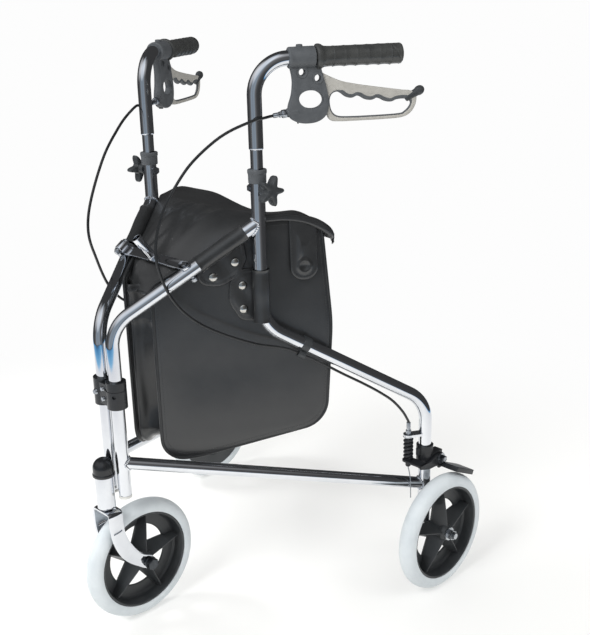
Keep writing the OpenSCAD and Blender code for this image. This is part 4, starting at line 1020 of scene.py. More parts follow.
@dataclass
class Caster:
    """Swivel fork, its housing, dome and nuts, and the front axle."""

    stem_x: float = -4.832
    stem_y: float = -251.002
    arm_x: float = 22.5
    crown_z: float = 210.0
    bend_z: float = 189.0
    trail: float = 54.0
    axle_z: float = 100.0
    arm_t: float = 4.0
    eye_r: float = 11.2
    strap_half: float = 12.6
    strap_crown: float = 1.6

    def strap(self) -> tuple[Array, Array]:
        """Mid surface of the fork: a strap carried from one axle eye over the crown to the other.

        Returns:
            Grid of points along and across the strap, and the mask of quads outside the pressed slots.
        """
        drop = self.bend_z - self.axle_z
        swing = (self.trail ** 2 + drop ** 2) / (2 * self.trail)
        turn = math.atan2(drop, swing - self.trail)
        corner = 7.0
        past = np.array([11.0, 10.6, 9.6, 7.8, 5.2, 2.4, 0.0])
        arc = np.concatenate([np.linspace(turn, 0.18, 22), [0.146, 0.115, 0.05, 0.0]])
        y = np.concatenate([self.trail + past * math.sin(turn), swing - swing * np.cos(arc), np.zeros(3)])
        z = np.concatenate([self.axle_z - past * math.cos(turn), self.bend_z - swing * np.sin(arc),
                            np.array([193.0, 198.0, self.crown_z - corner])])
        lean = np.concatenate([np.full(len(past), turn), arc, np.zeros(3)])
        wide = np.concatenate([np.sqrt(np.maximum(self.eye_r ** 2 - past ** 2, 0.3)),
                               np.linspace(self.eye_r, 10.2, 5), np.linspace(10.4, self.strap_half, 8),
                               np.full(16, self.strap_half)])
        n = len(y)
        bow = np.linspace(0, np.pi / 2, 9)[1:]
        flat = np.linspace(self.arm_x - corner, 0, 7)[1:]
        x = np.concatenate([np.full(n, self.arm_x), self.arm_x - corner + corner * np.cos(bow), flat])
        z = np.concatenate([z, self.crown_z - corner + corner * np.sin(bow), np.full(6, self.crown_z)])
        y, lean, wide = (np.concatenate([v, np.full(len(x) - n, last)])
                         for v, last in ((y, 0.0), (lean, 0.0), (wide, self.strap_half)))
        out = np.concatenate([np.zeros(n), bow, np.full(6, np.pi / 2)])
        side = np.concatenate([np.ones(len(x)), -np.ones(len(x) - 1)])
        x, y, z, lean, wide, out = (np.concatenate([v, v[-2::-1]]) for v in (x, y, z, lean, wide, out))
        v = np.array([-1, -0.86, -0.62, -0.3, 0, 0.3, 0.62, 0.86, 1.0])
        along = np.stack([0 * lean, np.cos(lean), np.sin(lean)], 1)
        normal = np.stack([side * np.cos(out), 0 * out, np.sin(out)], 1)
        crown = self.strap_crown * (1 - v ** 2)
        grid = (np.stack([side * x + self.stem_x, y + self.stem_y, z], 1)[:, None]
                + (wide[:, None] * v)[..., None] * along[:, None] + crown[None, :, None] * normal[:, None])
        keep = np.ones((len(x) - 1, len(v) - 1), bool)
        slot = len(past) + 22
        keep[[slot, len(x) - 2 - slot], 2:6] = False
        return grid, keep

    def build(self) -> None:
        """Builds the fork with its stem, and the dome, and dresses the rest."""
        grid, keep = self.strap()
        fork = Shell().grid(grid, keep=keep).make("caster_fork_strap", CHROME, 45)
        solid(fork, self.arm_t)
        edge = fork.modifiers.new("edge", "BEVEL")
        edge.width, edge.segments = 1.1 * MM, 2
        edge.limit_method, edge.angle_limit = "ANGLE", math.radians(50)
        fit(fork, "caster", CHROME.slot, "caster_fork")
        foot = np.array([self.stem_x, self.stem_y, 0])
        stem = bent(((0, 203), (6, 203), (6, 284), (0, 284)), (0, 0, 1, 0), steps=5)
        shell = Shell().grid(lathe(stem, foot, UP, ACROSS, 40), wrap=True)
        shell.piece("caster_stem", ZINC, "caster")
        a = np.linspace(0, np.pi / 2, 14)
        dome = np.vstack([bent(((15.1, 267), (17.4, 267), (17.4, 271), (16.4, 272.5), (16.4, 280)),
                               (0, 1, 1, 0.8, 0), steps=5),
                          np.stack([16.4 * np.cos(a), 280 + 16.4 * np.sin(a)], 1)])
        shell = Shell().grid(lathe(dome, foot, UP, ACROSS, 72), wrap=True)
        shell.piece("caster_dome", GLOSSY, "right_frame", "caster_cap")
        house = bent(((8.1, 213.5), (14.4, 213.5), (14.4, 269.4), (8.1, 269.4)), (0.4, 0.8, 0.8, 0.4),
                     True, 5)
        shell = Shell().grid(lathe(house, foot, UP, ACROSS, 64), wrap=True, loop=True)
        shell.piece("caster_head_tube", CHROME, "right_frame", "caster_housing")
        coat(ZINC, "caster_nuts")
        coat(OXIDE, "front_axle")
        bolt = np.array([self.stem_x, self.stem_y + self.trail, self.axle_z])
        head = Shell()
        washer = bent(((0, 26.2), (10.4, 26.2), (10.4, 28.4), (0, 28.6)), (0, 0.5, 0.8, 0), steps=5)
        nut = bent(((0, 28), (10, 28), (10, 35), (8.8, 36), (0, 36)), (0, 0.2, 0.6, 0.4, 0), steps=4)
        for sign in (1.0, -1.0):
            for form, sides in ((washer, 40), (nut, 6)):
                head.grid(lathe(form, bolt, sign * ACROSS, UP, sides), wrap=True)
        head.piece("front_axle_nuts", OXIDE, "caster", sharp=25)


@dataclass
class BrakeLine(SidePart):
    """Brake cable, return spring and rear brake of one side."""

    anchor_s: float = 463.0
    cable_r: float = 2.1
    wire_r: float = 0.85
    bow: float = 12.0
    bow_z: float = 640.0
    bow_span: float = 45.0
    coil_r: float = 5.6
    coil_wire: float = 2.75
    coil_low: float = 227.0
    coil_tall: float = 33.6
    leg: tuple[float, float, float] = (262.0, 197.002, 221.0)
    plate_t: float = 4.0
    shoe_t: float = 8.4
    shoe_fall: float = 26.0
    route: Sequence = ((0, 271, 797.4), (0, 252.5, 795.1), (2.4, 246, 794.5), (7.8, 239, 794),
                       (13, 232.4, 793.8), (16.4, 223, 793), (18.5, 186, 780), (21, 158, 764),
                       (26, 126, 738), (30, 102, 708), (32, 84, 678), (33, 73, 646), (33, 69, 614),
                       (31, 74, 584), (29, 84, 556), (27, 100, 530), (25, 126, 505), (22, 164, 482),
                       (16, 212, 460), (8, 256, 446), (6, 284, 432), (5, 316, 413), (5, 350, 391),
                       (5, 384, 370), (5, 412, 351), (4, 434, 333), (2, 452, 311), (0, 463, 291))
    tail: Sequence = ((0, 463, 268), (0, 463, 240), (0, 463, 212), (3, 463, 206), (9, 463, 197),
                      (12, 463, 188), (13, 463, 159))

    def cable(self) -> None:
        """Builds the cable: a round profile carried along the smooth route, then ferrule and bare wire.

        The right one bows forward by a bell curve at its loop, where the lifted lock bar's pull tube passes.
        """
        line = np.vstack([spline(self.route, 8), [(0, self.anchor_s, 284)]])
        if self.side is Side.RIGHT:
            line[:, 1] -= self.bow * np.exp(-((line[:, 2] - self.bow_z) / self.bow_span) ** 2)
        path = self.place(line[:, 0], line[:, 1], line[:, 2])
        shell = Shell().grid(sweep(path, self.cable_r, self.out, 16), wrap=True, caps=True)
        word = self.side.word
        foot = self.place(0, self.anchor_s, 0)
        ferrule = bent(((0, 290), (3.4, 290), (3.4, 277), (4.6, 276), (4.6, 270), (8.6, 269.6),
                        (8.6, 268.2), (0, 268.2)), (0, 0.8, 0.3, 0.5, 0.5, 0.4, 0.4, 0), steps=4)
        cup = bent(((0, 266), (8.6, 265.8), (8.6, 264.0), (0, 263.4)), (0, 0.4, 0.4, 0), steps=4)
        metal = Shell()
        for form in (ferrule, cup):
            metal.grid(lathe(form, foot, UP, ACROSS, 32), wrap=True)
        tail = spline(self.tail, 6)
        wire = self.place(tail[:, 0], tail[:, 1], tail[:, 2])
        metal.grid(sweep(wire, self.wire_r, self.out, 8), wrap=True, caps=True)
        metal.piece(f"{word}_cable_ferrule", ZINC, f"{word}_frame")
        obj = shell.make(f"{word}_cable_run", SLEEVE)
        low, high = self.place(30, 100, 640) * MM, self.place(30, 100, 785) * MM
        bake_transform(obj)
        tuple(low)
        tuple(high)
        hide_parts(f"{word}_brake_cable")
        log.info("%s bends between frame and handle", obj.name)

    def spring(self) -> None:
        """Builds the return spring: a round wire on a helix, flat at its ends."""
        k = np.linspace(0, 5.5, 260)
        rise = self.coil_low + self.coil_tall * np.clip((k - 0.25) / 5.0, 0, 1)
        a = 2 * np.pi * k
        path = self.place(self.coil_r * np.cos(a), self.anchor_s + self.coil_r * np.sin(a), rise)
        shell = Shell().grid(sweep(path, self.coil_wire, UP, 14), wrap=True, caps=True)
        word = self.side.word
        coil = shell.piece(f"{word}_return_coil", COATED, f"{word}_frame", f"{word}_brake_spring")
        top = self.place(0, self.anchor_s, 263.5) * MM
        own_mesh(coil)

    def at_leg(self, x: Any, y: Any, z: Any) -> Array:
        """Points from distances measured from the leg at the height of the brake bolt."""
        x, y, z = np.broadcast_arrays(np.asarray(x, float), np.asarray(y, float), np.asarray(z, float))
        return np.stack([self.side.value * (self.leg[0] + x), self.leg[1] + y, self.leg[2] + z], -1)

    def arm(self) -> None:
        """Builds the brake arm: side plate, pull plate and shoe over the tyre, with nuts and washer."""
        bore = hole((18, 0), 4.1, 32)
        side = bent(((-34, -3), (-12, -10), (10, -11), (14, -17), (31, -17), (29, 1), (24, 9), (9, 9),
                     (-10, 3), (-34, 3)), (1, 10, 2, 1, 1, 6, 6, 8, 10, 1), True, 7)
        pull = bent(((-23.5, -34), (19.5, -34), (19.5, -16), (-23.5, -16)), (7, 1, 1, 7), True, 8)
        shoe = bent(((16, -3), (51.5, -3), (51.5, 50), (16, 50)), (1, 3, 3, 3), True, 6)
        fall = math.radians(self.shoe_fall)
        shell = Shell()
        for loops, thick, way in (((side, bore), self.plate_t, 0), ((pull,), self.plate_t, 1),
                                  ((shoe,), self.shoe_t, 2)):
            flat, faces = plate(loops, thick, 0.8)
            u, v, h = flat.T
            deep = h + self.shoe_t / 2
            spot = ((17.8 + h, u, v), (u, v, 1 + h),
                    (u, 21 + v * math.cos(fall) + deep * math.sin(fall),
                     -16.4 - v * math.sin(fall) + deep * math.cos(fall)))[way]
            shell.loose(self.at_leg(*spot), faces)
        stop = bent(((0, -10), (3.6, -10), (4.6, -8), (4.6, 0), (0, 0)), (0, 0.8, 0.8, 0, 0), steps=4)
        shell.grid(lathe(stop, self.at_leg(-14.5, -25.11, 0), UP, ACROSS, 24), wrap=True)
        word = self.side.word
        shell.piece(f"{word}_brake_shoe_arm", COATED, f"{word}_arm", f"{word}_brake_arm", sharp=35)
        nuts = Shell()
        out = self.side.value * ACROSS
        for spot, start, radius in ((self.at_leg(0, 18, 0), 21.6, 6.9),
                                    (self.at_leg(0, 0, -121), 57.0, 8.0)):
            top = start + 6.6
            form = bent(((0, start), (radius, start), (radius, start + 5.4), (radius * 0.82, top), (0, top)),
                        (0, 0.2, 0.5, 0.5, 0), steps=4)
            nuts.grid(lathe(form, spot, out, UP, 6), wrap=True)
        nuts.piece(f"{word}_dark_nuts", OXIDE, f"{word}_frame", sharp=25)
        disc = bent(((0, 20.0), (8.2, 20.0), (8.2, 21.7), (0, 21.8)), (0, 0.4, 0.6, 0), steps=4)
        washer = Shell().grid(lathe(disc, self.at_leg(0, 18, 0), out, UP, 40), wrap=True)
        washer.piece(f"{word}_brake_washer", ZINC, f"{word}_frame")

    def build(self) -> None:
        """Builds cable, spring and brake arm and dresses the rest of the brake."""
        self.cable()
        self.spring()
        word = self.side.word
        coat(MOULDED, f"{word}_cable_clip")
        self.arm()
        coat(COATED, f"{word}_brake_bracket")
        coat(ZINC, f"{word}_brake_bolt", f"{word}_axle")


@dataclass
class Bag:
    """Vinyl bag between the frames: stiff panels, a pleated gusset, a cover with its tab, and tube loops."""

    layout: Layout
    outer: float = -13.6
    panel_thick: float = 4.5
    skin_thick: float = 1.8
    corners: Sequence = ((64, 556), (64, 273), (120, 273), (328, 304), (339, 470), (324, 641), (226, 641))
    radii: Sequence = (12, 36, 150, 44, 300, 30, 60)
    middle: tuple[float, float] = (205.0, 455.0)
    rivets: Sequence = ((156, 563), (190, 583), (200, 546), (200, 509))
    cover_front: float = -154.0
    cover_bend: float = -22.0
    cover_rear: float = 77.0
    sag: float = 23.0
    dip: float = 12.0
    strip: Sequence = ((66, 547), (66, 275), (120, 275), (326, 306), (337, 470), (322.9, 632))
    strip_radii: Sequence = (0, 35, 150, 42, 300, 0)
    skirt: Sequence = (0.5, 1.8, 4.0, 7.0, 10.0)
    hem: Sequence = (0.5, 1.8, 4.5, 8.5, 14.0, 21.0, 29.0)
    folds: Sequence = ((-30, 0.25, 11, 4.2), (8, -0.1, 13, 3.4), (38, 0.3, 10, 2.4), (-52, 0.1, 9, 2.6))

    def outline(self) -> Array:
        """Outline of a side panel with its rounded corners, evenly spaced."""
        return even(bent(self.corners, self.radii, True, 14), 300, True)

    def swell(self, s: Array, z: Array) -> Array:
        """How far the panel stands out: a low cushion below the tubes and slow unevenness."""
        low = ease(z, 430, 330) * ease(z, 262, 310) * ease(s, 62, 120) * ease(s, 336, 270)
        return 3.0 * low + 0.5 * np.sin(s / 41 + 1.3) * np.sin(z / 57)

    def stitches(self, path: Array, normal: Array, pitch: float = 4.6) -> Array:
        """Frames of stitches along a path: origin, length, width and height directions.

        Args:
            path: points of the seam.
            normal: direction off the cloth.
            pitch: distance from stitch to stitch.
        Returns:
            Frames, stitches by 4 by 3.
        """
        long = np.linalg.norm(np.diff(path, axis=0), axis=1).sum()
        spot = even(path, max(int(long / pitch), 3))
        ahead = unit(np.gradient(spot, axis=0))
        off = np.broadcast_to(normal, spot.shape)
        return np.stack([spot, ahead, np.cross(off, ahead), off], 1)

    def thread(self) -> Array:
        """Local form of one stitch: a small rounded bar, 3.2 by 0.9 mm."""
        x = np.array([-1.6, -1.45, -0.8, 0.8, 1.45, 1.6])
        r = np.array([0.02, 0.3, 0.46, 0.46, 0.3, 0.02])
        a = angles(6)
        return np.stack([np.repeat(x[:, None], 6, 1), r[:, None] * np.cos(a),
                         0.8 * r[:, None] * np.sin(a)], -1)

    def panel(self, side: Side) -> None:
        """Builds one side panel: the outline drawn to its middle ring by ring, with piping and a seam.

        Args:
            side: side of the bag.
        """
        edge = self.outline()
        rings = np.concatenate([[0.0], np.linspace(0.06, 0.94, 26), [0.965, 0.985, 1.0]])[:, None, None]
        flat = np.array(self.middle) + rings * (edge - np.array(self.middle))[None]
        s, z = flat[..., 0], flat[..., 1]
        roll = -1.6 * ease(rings[..., 0], 0.95, 1.0)
        welt = -0.5 * np.exp(-((rings[..., 0] - 0.955) / 0.012) ** 2)
        grid = self.layout.place(side, self.outer + self.swell(s, z) + roll + welt, s, z)
        word = side.word
        obj = Shell().grid(grid, wrap=True).make(f"{word}_bag_wall", VINYL, 60)
        solid(obj, self.panel_thick)
        self.face_out(obj, side)
        fit(obj, f"{word}_frame", VINYL.slot, f"{word}_bag_panel")
        path = self.layout.place(side, self.outer - 2.4, edge[:, 0], edge[:, 1])
        pipe = Shell().grid(sweep(path, 2.7, self.layout.outward(side), 14, True), wrap=True, loop=True)
        pipe.piece(f"{word}_bag_piping", PIPING, f"{word}_frame")
        inset = np.array(self.middle) + 0.955 * (edge - np.array(self.middle))
        inset = np.vstack([inset, inset[:1]])
        seam = self.layout.place(side, self.outer + self.swell(inset[:, 0], inset[:, 1]) - 0.35,
                                 inset[:, 0], inset[:, 1])
        sewn = Shell().many(self.stitches(seam, self.layout.outward(side)), self.thread())
        sewn.piece(f"{word}_bag_seam", THREAD, f"{word}_frame")

    def face_out(self, obj: bpy.types.Object, side: Side) -> None:
        """Turns an open sheet so that its faces look outward from the frame.

        Args:
            obj: the sheet.
            side: side of the bag.
        """
        normal = np.empty(len(obj.data.polygons) * 3)
        obj.data.polygons.foreach_get("normal", normal)
        if (normal.reshape(-1, 3) @ self.layout.outward(side)).sum() < 0:
            obj.data.flip_normals()

    def share(self, obj: bpy.types.Object) -> None:
        """Bakes a skin's transform and works out each point's share of the fold by its place across the bag;
        the skin is not bent.

        Args:
            obj: the skin, with its modifiers applied.
        """
        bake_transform(obj)
        co = np.empty(len(obj.data.vertices) * 3, np.float32)
        obj.data.vertices.foreach_get("co", co)
        co = co.reshape(-1, 3) / MM
        part = 0.5 + 0.5 * co[:, 0] / np.maximum(self.layout.half_width(co[:, 1], -16.0), 10)
        log.info("%s bends between the frames", obj.name)

    def gusset(self) -> None:
        """Builds the gusset: a strip along front, bottom and back, folded inward in the middle like a V.

        Its depth at a, from -1 to 1 across, is fold (1 - |a|), less a slack roll beside each panel, with
        creases above. Its rear edge dips by dip (1 - a^2), to stay under the cover's sag.
        """
        line = even(bent(self.strip, self.strip_radii, steps=16), 190)
        head = unit(np.gradient(line, axis=0))
        inward, rise = -head[:, 1:], head[:, :1]
        s, z = line[:, :1], line[:, 1:]
        a = np.linspace(-1, 1, 73)[None]
        soft = np.sqrt(a ** 2 + 0.002)
        front, back = (s < 200) * ease(z, 285, 350), (s > 200) * ease(z, 312, 390)
        fold = 24 + 8 * front + 22 * back + (front + back) * 4 * np.sin(z / 43)
        roll = 5.0 * np.exp(-((np.abs(a) - 0.8) / 0.12) ** 2)
        crease = np.abs(np.sin(z / 15 + 2.2 * a + 0.6 * np.sin(5 * a))) ** 0.7 - 0.6
        slack = 7.5 * crease * front * ease(z, 450, 530) + 1.4 * np.sin(z / 27 - 3 * a) * (front + back)
        slack = slack + 1.2 * np.sin(s / 23 + 4 * a)
        deep = (fold * (1 - soft) - roll + slack * (1 - a ** 6)) * (1 - a ** 12)
        edge = self.layout.place(Side.LEFT, self.outer - 5.5, s, z)
        dip = self.dip * (s > 200) * ease(z, 540, 632) * (1 - a ** 2)
        x, y = edge[..., 0] * a, edge[..., 1] + deep * inward
        grid = np.stack(np.broadcast_arrays(x, y, z + deep * rise - dip), -1)
        obj = applied(solid(Shell().grid(grid).make("bag_pleats", VINYL, 60), self.skin_thick, 0.0))
        self.share(obj)
        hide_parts("bag_gusset")

    def cover_height(self, x: Array, y: Array, wide: Array) -> Array:
        """Height of the cover: a quick rise, a slack top that sags behind, drooping corners, and folds.

        Args:
            x: distance across.
            y: distance back.
            wide: half width of the bag there.
        Returns:
            Height in millimetres.
        """
        f = np.clip((y - self.cover_front) / (self.cover_bend - self.cover_front), 0, 1)
        a = np.clip(np.abs(x) / wide, 0, 1.2)
        middle = 533 + 117 * (1 - (1 - f) ** 2.2) - 4 * ease(y, -60, 40)
        edge = np.minimum(556 + 0.7 * (y - self.cover_front), 650)
        z = edge + (middle - edge) * (1 - np.clip(a, 0, 1) ** 3)
        late = (np.clip(y - 4, 0, None) / 73) ** 2.2
        z = z - late * np.where(x > 0, 30 * ease(a, 0.45, 1.0), 8 * ease(a, 0.5, 1.0))
        z = z - self.sag * np.exp(-((x - 5) / 95) ** 2) * ease(y, -40, 66)
        slope = ease(y, -145, -115) * ease(y, 5, -45)
        for x0, lean, width, height in self.folds:
            z = z + height * slope * np.exp(-((x - x0 - lean * (y + 70)) / width) ** 2)
        z = z + 6.0 * np.exp(-((x + 30 - 0.7 * (y + 125)) / 6) ** 2 - ((y + 122) / 17) ** 2)
        return z + 0.8 * np.sin(x / 13 + y / 31) * np.sin(y / 19 - 1)

    def cover(self) -> None:
        """Builds the cover: a draped sheet with a short skirt along both sides and a longer one behind."""
        top = np.linspace(-1, 1, 81)
        deep = np.linspace(self.cover_front, self.cover_rear, 72)
        hang, tail = np.array(self.skirt), np.array(self.hem)
        a = np.concatenate([-np.ones(len(hang)), top, np.ones(len(hang))])[None]
        y = np.concatenate([deep, np.full(len(tail), self.cover_rear)])[:, None]
        side = np.concatenate([hang[::-1], 0 * top, hang])[None] * (1 + 0.9 * ease(y, 20, self.cover_rear))
        short = 1 - 0.4 * ease(np.abs(a), 0.55, 1.0)
        rear = np.concatenate([0 * deep, tail])[:, None] * short
        wide = self.layout.half_width(y, self.outer + 1.2)
        round_off = 13.0 * (1 - np.sqrt(1 - np.clip((y - self.cover_rear + 28) / 28, 0, 0.999) ** 2))
        curl = 6.0 * ease(y, 10, self.cover_rear) * np.sin(np.pi * np.clip(side / 21, 0, 1))
        brim = np.sign(a) * (1.6 * np.sqrt(side) / (1 + 0.35 * side) + curl) * (side > 0)
        x = a * (wide - round_off * ease(np.abs(a), 0.5, 1.0)) + brim
        behind = y + 2.6 * np.sqrt(rear) / (1 + 0.3 * rear) + 0.06 * rear + 0 * x
        fall = np.sqrt(side ** 2 + rear ** 2)
        z = self.cover_height(x, y + 0 * x, wide) - fall + 1.2 * np.sin(x / 23) * ease(rear, 0, 30)
        obj = Shell().grid(np.stack([x, behind, z], -1)).make("bag_cover", VINYL, 60)
        obj = applied(solid(obj, self.skin_thick, 0.0))
        self.share(obj)
        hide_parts("bag_flap")

    def tab(self) -> None:
        """Builds the closing tab: a round ended strip that hangs from the cover, with a pressed snap."""
        edge = bent(((274, 647), (274, 546), (317, 546), (317, 629)), (2, 20, 20, 2), True, 10)
        mid = np.array([295.5, 590.0])
        rings = np.concatenate([np.linspace(0, 0.95, 22), [0.975, 1.0]])[:, None, None]
        flat = mid + rings * (edge - mid)[None]
        s, z = flat[..., 0], flat[..., 1]
        snap = np.hypot(s - 295.5, z - 568)
        ring, cup = np.exp(-((snap - 9) / 2.6) ** 2), np.exp(-(snap / 5) ** 2)
        lift = 4.2 * ease(z, 640, 590) + 2.4 * ring - 1.2 * cup
        crease = np.exp(-((s - 288 - (z - 590) * 0.12) / 5) ** 2)
        lift = lift + 4.0 * crease * ease(z, 625, 600) * ease(z, 572, 590)
        off = self.outer + 2.3 + lift - 1.0 * ease(rings[..., 0], 0.95, 1)
        grid = self.layout.place(Side.LEFT, off, s, z)
        obj = Shell().grid(grid, wrap=True).make("bag_tab", VINYL, 60)
        self.face_out(obj, Side.LEFT)
        fit(solid(obj, 2.2), "left_frame", VINYL.slot)
        rim = mid + 0.9 * (edge - mid)
        off = self.outer + 2.7 + 4.2 * ease(rim[:, 1], 640, 590)
        path = self.layout.place(Side.LEFT, off, rim[:, 0], rim[:, 1])
        seam = np.vstack([path, path[:1]])
        sewn = Shell().many(self.stitches(seam, self.layout.outward(Side.LEFT)), self.thread())
        sewn.piece("bag_tab_seam", THREAD, "left_frame")

    def sleeve(self, side: Side, start: Sequence[float], end: Sequence[float], radius: float) -> Array:
        """A vinyl loop round a tube: a round profile along it, rolled at its ends and a little lumpy.

        Args:
            side: side of the bag.
            start: frame distance and height of its lower end.
            end: frame distance and height of its upper end.
            radius: radius of the loop.
        Returns:
            Grid of points, rings by sides.
        """
        k = np.concatenate([[0, 0.004, 0.014, 0.03], np.linspace(0.05, 0.95, 26), [0.97, 0.986, 0.996, 1]])
        line = np.array(start) + k[:, None] * (np.array(end) - np.array(start))
        rolled = np.exp(-(k / 0.03) ** 2) + np.exp(-((1 - k) / 0.03) ** 2)
        r = radius + 0.9 * rolled + 0.35 * np.sin(9 * k + 2)
        r[[0, -1]] -= 1.6
        return sweep(self.layout.place(side, 0, line[:, 0], line[:, 1]), r, self.layout.outward(side), 40)

    def patch(self, side: Side, edge: Array, mid: Sequence[float]) -> tuple[Array, Array]:
        """A patch sewn on a panel: its outline drawn towards a middle, thick with a rolled edge.

        Args:
            side: side of the bag.
            edge: outline in frame distance and height.
            mid: its middle.
        Returns:
            Grid of the patch and path of its seam.
        """
        rings = np.concatenate([np.linspace(0, 0.93, 14), [0.96, 0.985, 1.0, 1.0]])[:, None, None]
        flat = np.array(mid) + rings * (edge - np.array(mid))[None]
        s, z = flat[..., 0], flat[..., 1]
        sunk = np.exp(-((rings[..., 0] - 0.88) / 0.03) ** 2)
        drop = np.concatenate([np.zeros(14), [0.25, 1.0, 2.0, 4.2]])[:, None]
        lift = 3.2 + 0.4 * np.sin(s / 6 + z / 9) - 0.7 * sunk - drop
        rim = np.array(mid) + 0.88 * (edge - np.array(mid))
        return (self.layout.place(side, self.outer + lift, s, z),
                self.layout.place(side, self.outer + 2.9, rim[:, 0], rim[:, 1]))

    def loops(self, side: Side) -> None:
        """Builds the loops round upper tube and socket with their half round patches, seams and rivets.

        Args:
            side: side of the bag.
        """
        word = side.word
        shell = Shell().grid(self.sleeve(side, (133, 586.2), (204, 629.6), 12.5), wrap=True)
        shell.grid(self.sleeve(side, (226, 490), (226, 572), 12.9), wrap=True)
        sewn = Shell()
        upper = bent(((130, 580), (136, 552), (164, 546), (196, 560), (209, 586), (203, 624)),
                     (0, 16, 30, 30, 22, 0), steps=10)
        lower = bent(((224, 571), (196, 571), (180, 552), (178, 520), (196, 490), (224, 488)),
                     (0, 16, 28, 30, 18, 0), steps=10)
        for edge, mid in ((upper, (168, 588)), (lower, (210, 530))):
            grid, seam = self.patch(side, edge, mid)
            shell.grid(grid, wrap=True)
            sewn.many(self.stitches(seam, self.layout.outward(side)), self.thread())
        shell.piece(f"{word}_tube_loops", VINYL, f"{word}_frame", f"{word}_bag_straps", sharp=60)
        sewn.piece(f"{word}_loop_seams", THREAD, f"{word}_frame")
        a = np.linspace(0, np.pi / 2, 9)
        cap = np.vstack([[(0, -2), (6.8, -2), (6.8, 0.2)],
                         np.stack([6.8 * np.cos(a), 0.4 + 2.8 * np.sin(a)], 1)])
        caps = Shell()
        for s, z in self.rivets:
            caps.grid(lathe(cap, self.layout.place(side, self.outer + 3.0, s, z),
                            self.layout.outward(side), UP, 40), wrap=True)
        caps.piece(f"{word}_rivet_caps", NICKEL, f"{word}_frame", f"{word}_bag_rivets")

    def build(self) -> None:
        """Builds every piece of the bag."""
        for side in Side:
            self.panel(side)
            self.loops(side)
        self.gusset()
        self.cover()
        self.tab()


@dataclass
class Hinge:
    """Double sleeve at the front posts and the lock bar across the upper tubes."""

    origin: tuple[float, float, float] = (0.0, -126.03, 577.66)
    tilt: float = 35.19
    half: float = 75.5
    low: float = 10.5
    pin: float = 18.1
    wide: float = 16.0
    strip_t: float = 4.0
    pull_r: float = 7.2
    pull_bore: float = 5.9
    pull_long: float = 41.0
    pull_lean: float = 8.0

    def way(self, x: float, y: float, z: float) -> Array:
        """Direction from the bar's own: along it, up the tubes and off the tubes."""
        a = math.radians(self.tilt)
        return np.array([x, y * math.cos(a) - z * math.sin(a), y * math.sin(a) + z * math.cos(a)])

    def at(self, x: Any, y: Any, z: Any) -> Array:
        """Points from distances along the bar, up the tubes and off the tubes."""
        x, y, z = np.broadcast_arrays(np.asarray(x, float), np.asarray(y, float), np.asarray(z, float))
        ways = np.stack([self.way(1, 0, 0), self.way(0, 1, 0), self.way(0, 0, 1)])
        return np.array(self.origin) + np.stack([x, y, z], -1) @ ways

    def bar(self) -> None:
        """Builds the lock bar: a flat bar with a long hole, a rolled eye and a leaning open pull tube."""
        half = self.wide / 2
        end = self.half + 9
        outline = bent(((-self.half, -half), (end, -half), (end, half), (-self.half, half)),
                       (1, 7.5, 7.5, 1), True, 10)
        slot = bent(((63.5, -6), (81.5, -6), (81.5, 6), (63.5, 6)), 5.9, True, 10)
        flat, faces = plate((outline, slot), self.strip_t, 0.8)
        shell = Shell().loose(self.at(flat[:, 0], flat[:, 1], self.low + self.strip_t / 2 + flat[:, 2]),
                              faces)
        eye = bent(((3.1, -half), (7.4, -half), (7.4, half), (3.1, half)), (0.3, 1.0, 1.0, 0.3), True, 5)
        pin = self.at(-self.half, 0, self.pin)
        shell.grid(lathe(eye, pin, self.way(0, 1, 0), self.way(1, 0, 0), 40), wrap=True, loop=True)
        lean = math.radians(self.pull_lean)
        up = self.way(-math.sin(lean), 0, math.cos(lean))
        section = ((self.pull_bore, 1), (self.pull_r, 1), (self.pull_r, self.pull_long),
                   (self.pull_bore, self.pull_long))
        pull = bent(section, (0.2, 0.2, 0.6, 0.6), True, 5)
        foot = self.at(0, 0, self.low + 3)
        shell.grid(lathe(pull, foot, up, self.way(0, 1, 0), 40), wrap=True, loop=True)
        collar = bent(((0, 0), (8.2, 0), (8.2, 4), (0, 4.4)), (0, 0.3, 0.8, 0), steps=5)
        shell.grid(lathe(collar, foot, self.way(0, 0, 1), self.way(0, 1, 0), 40), wrap=True)
        shell.piece("lock_bar_strip", CHROME, "lock_bar", "lock_bar", sharp=35)

    def build(self) -> None:
        """Builds the lock bar and dresses the sleeve and the fasteners."""
        self.bar()
        coat(GLOSSY, "hinge_bracket")
        coat(ZINC, "hinge_rivets", "lock_pivot", "lock_peg")


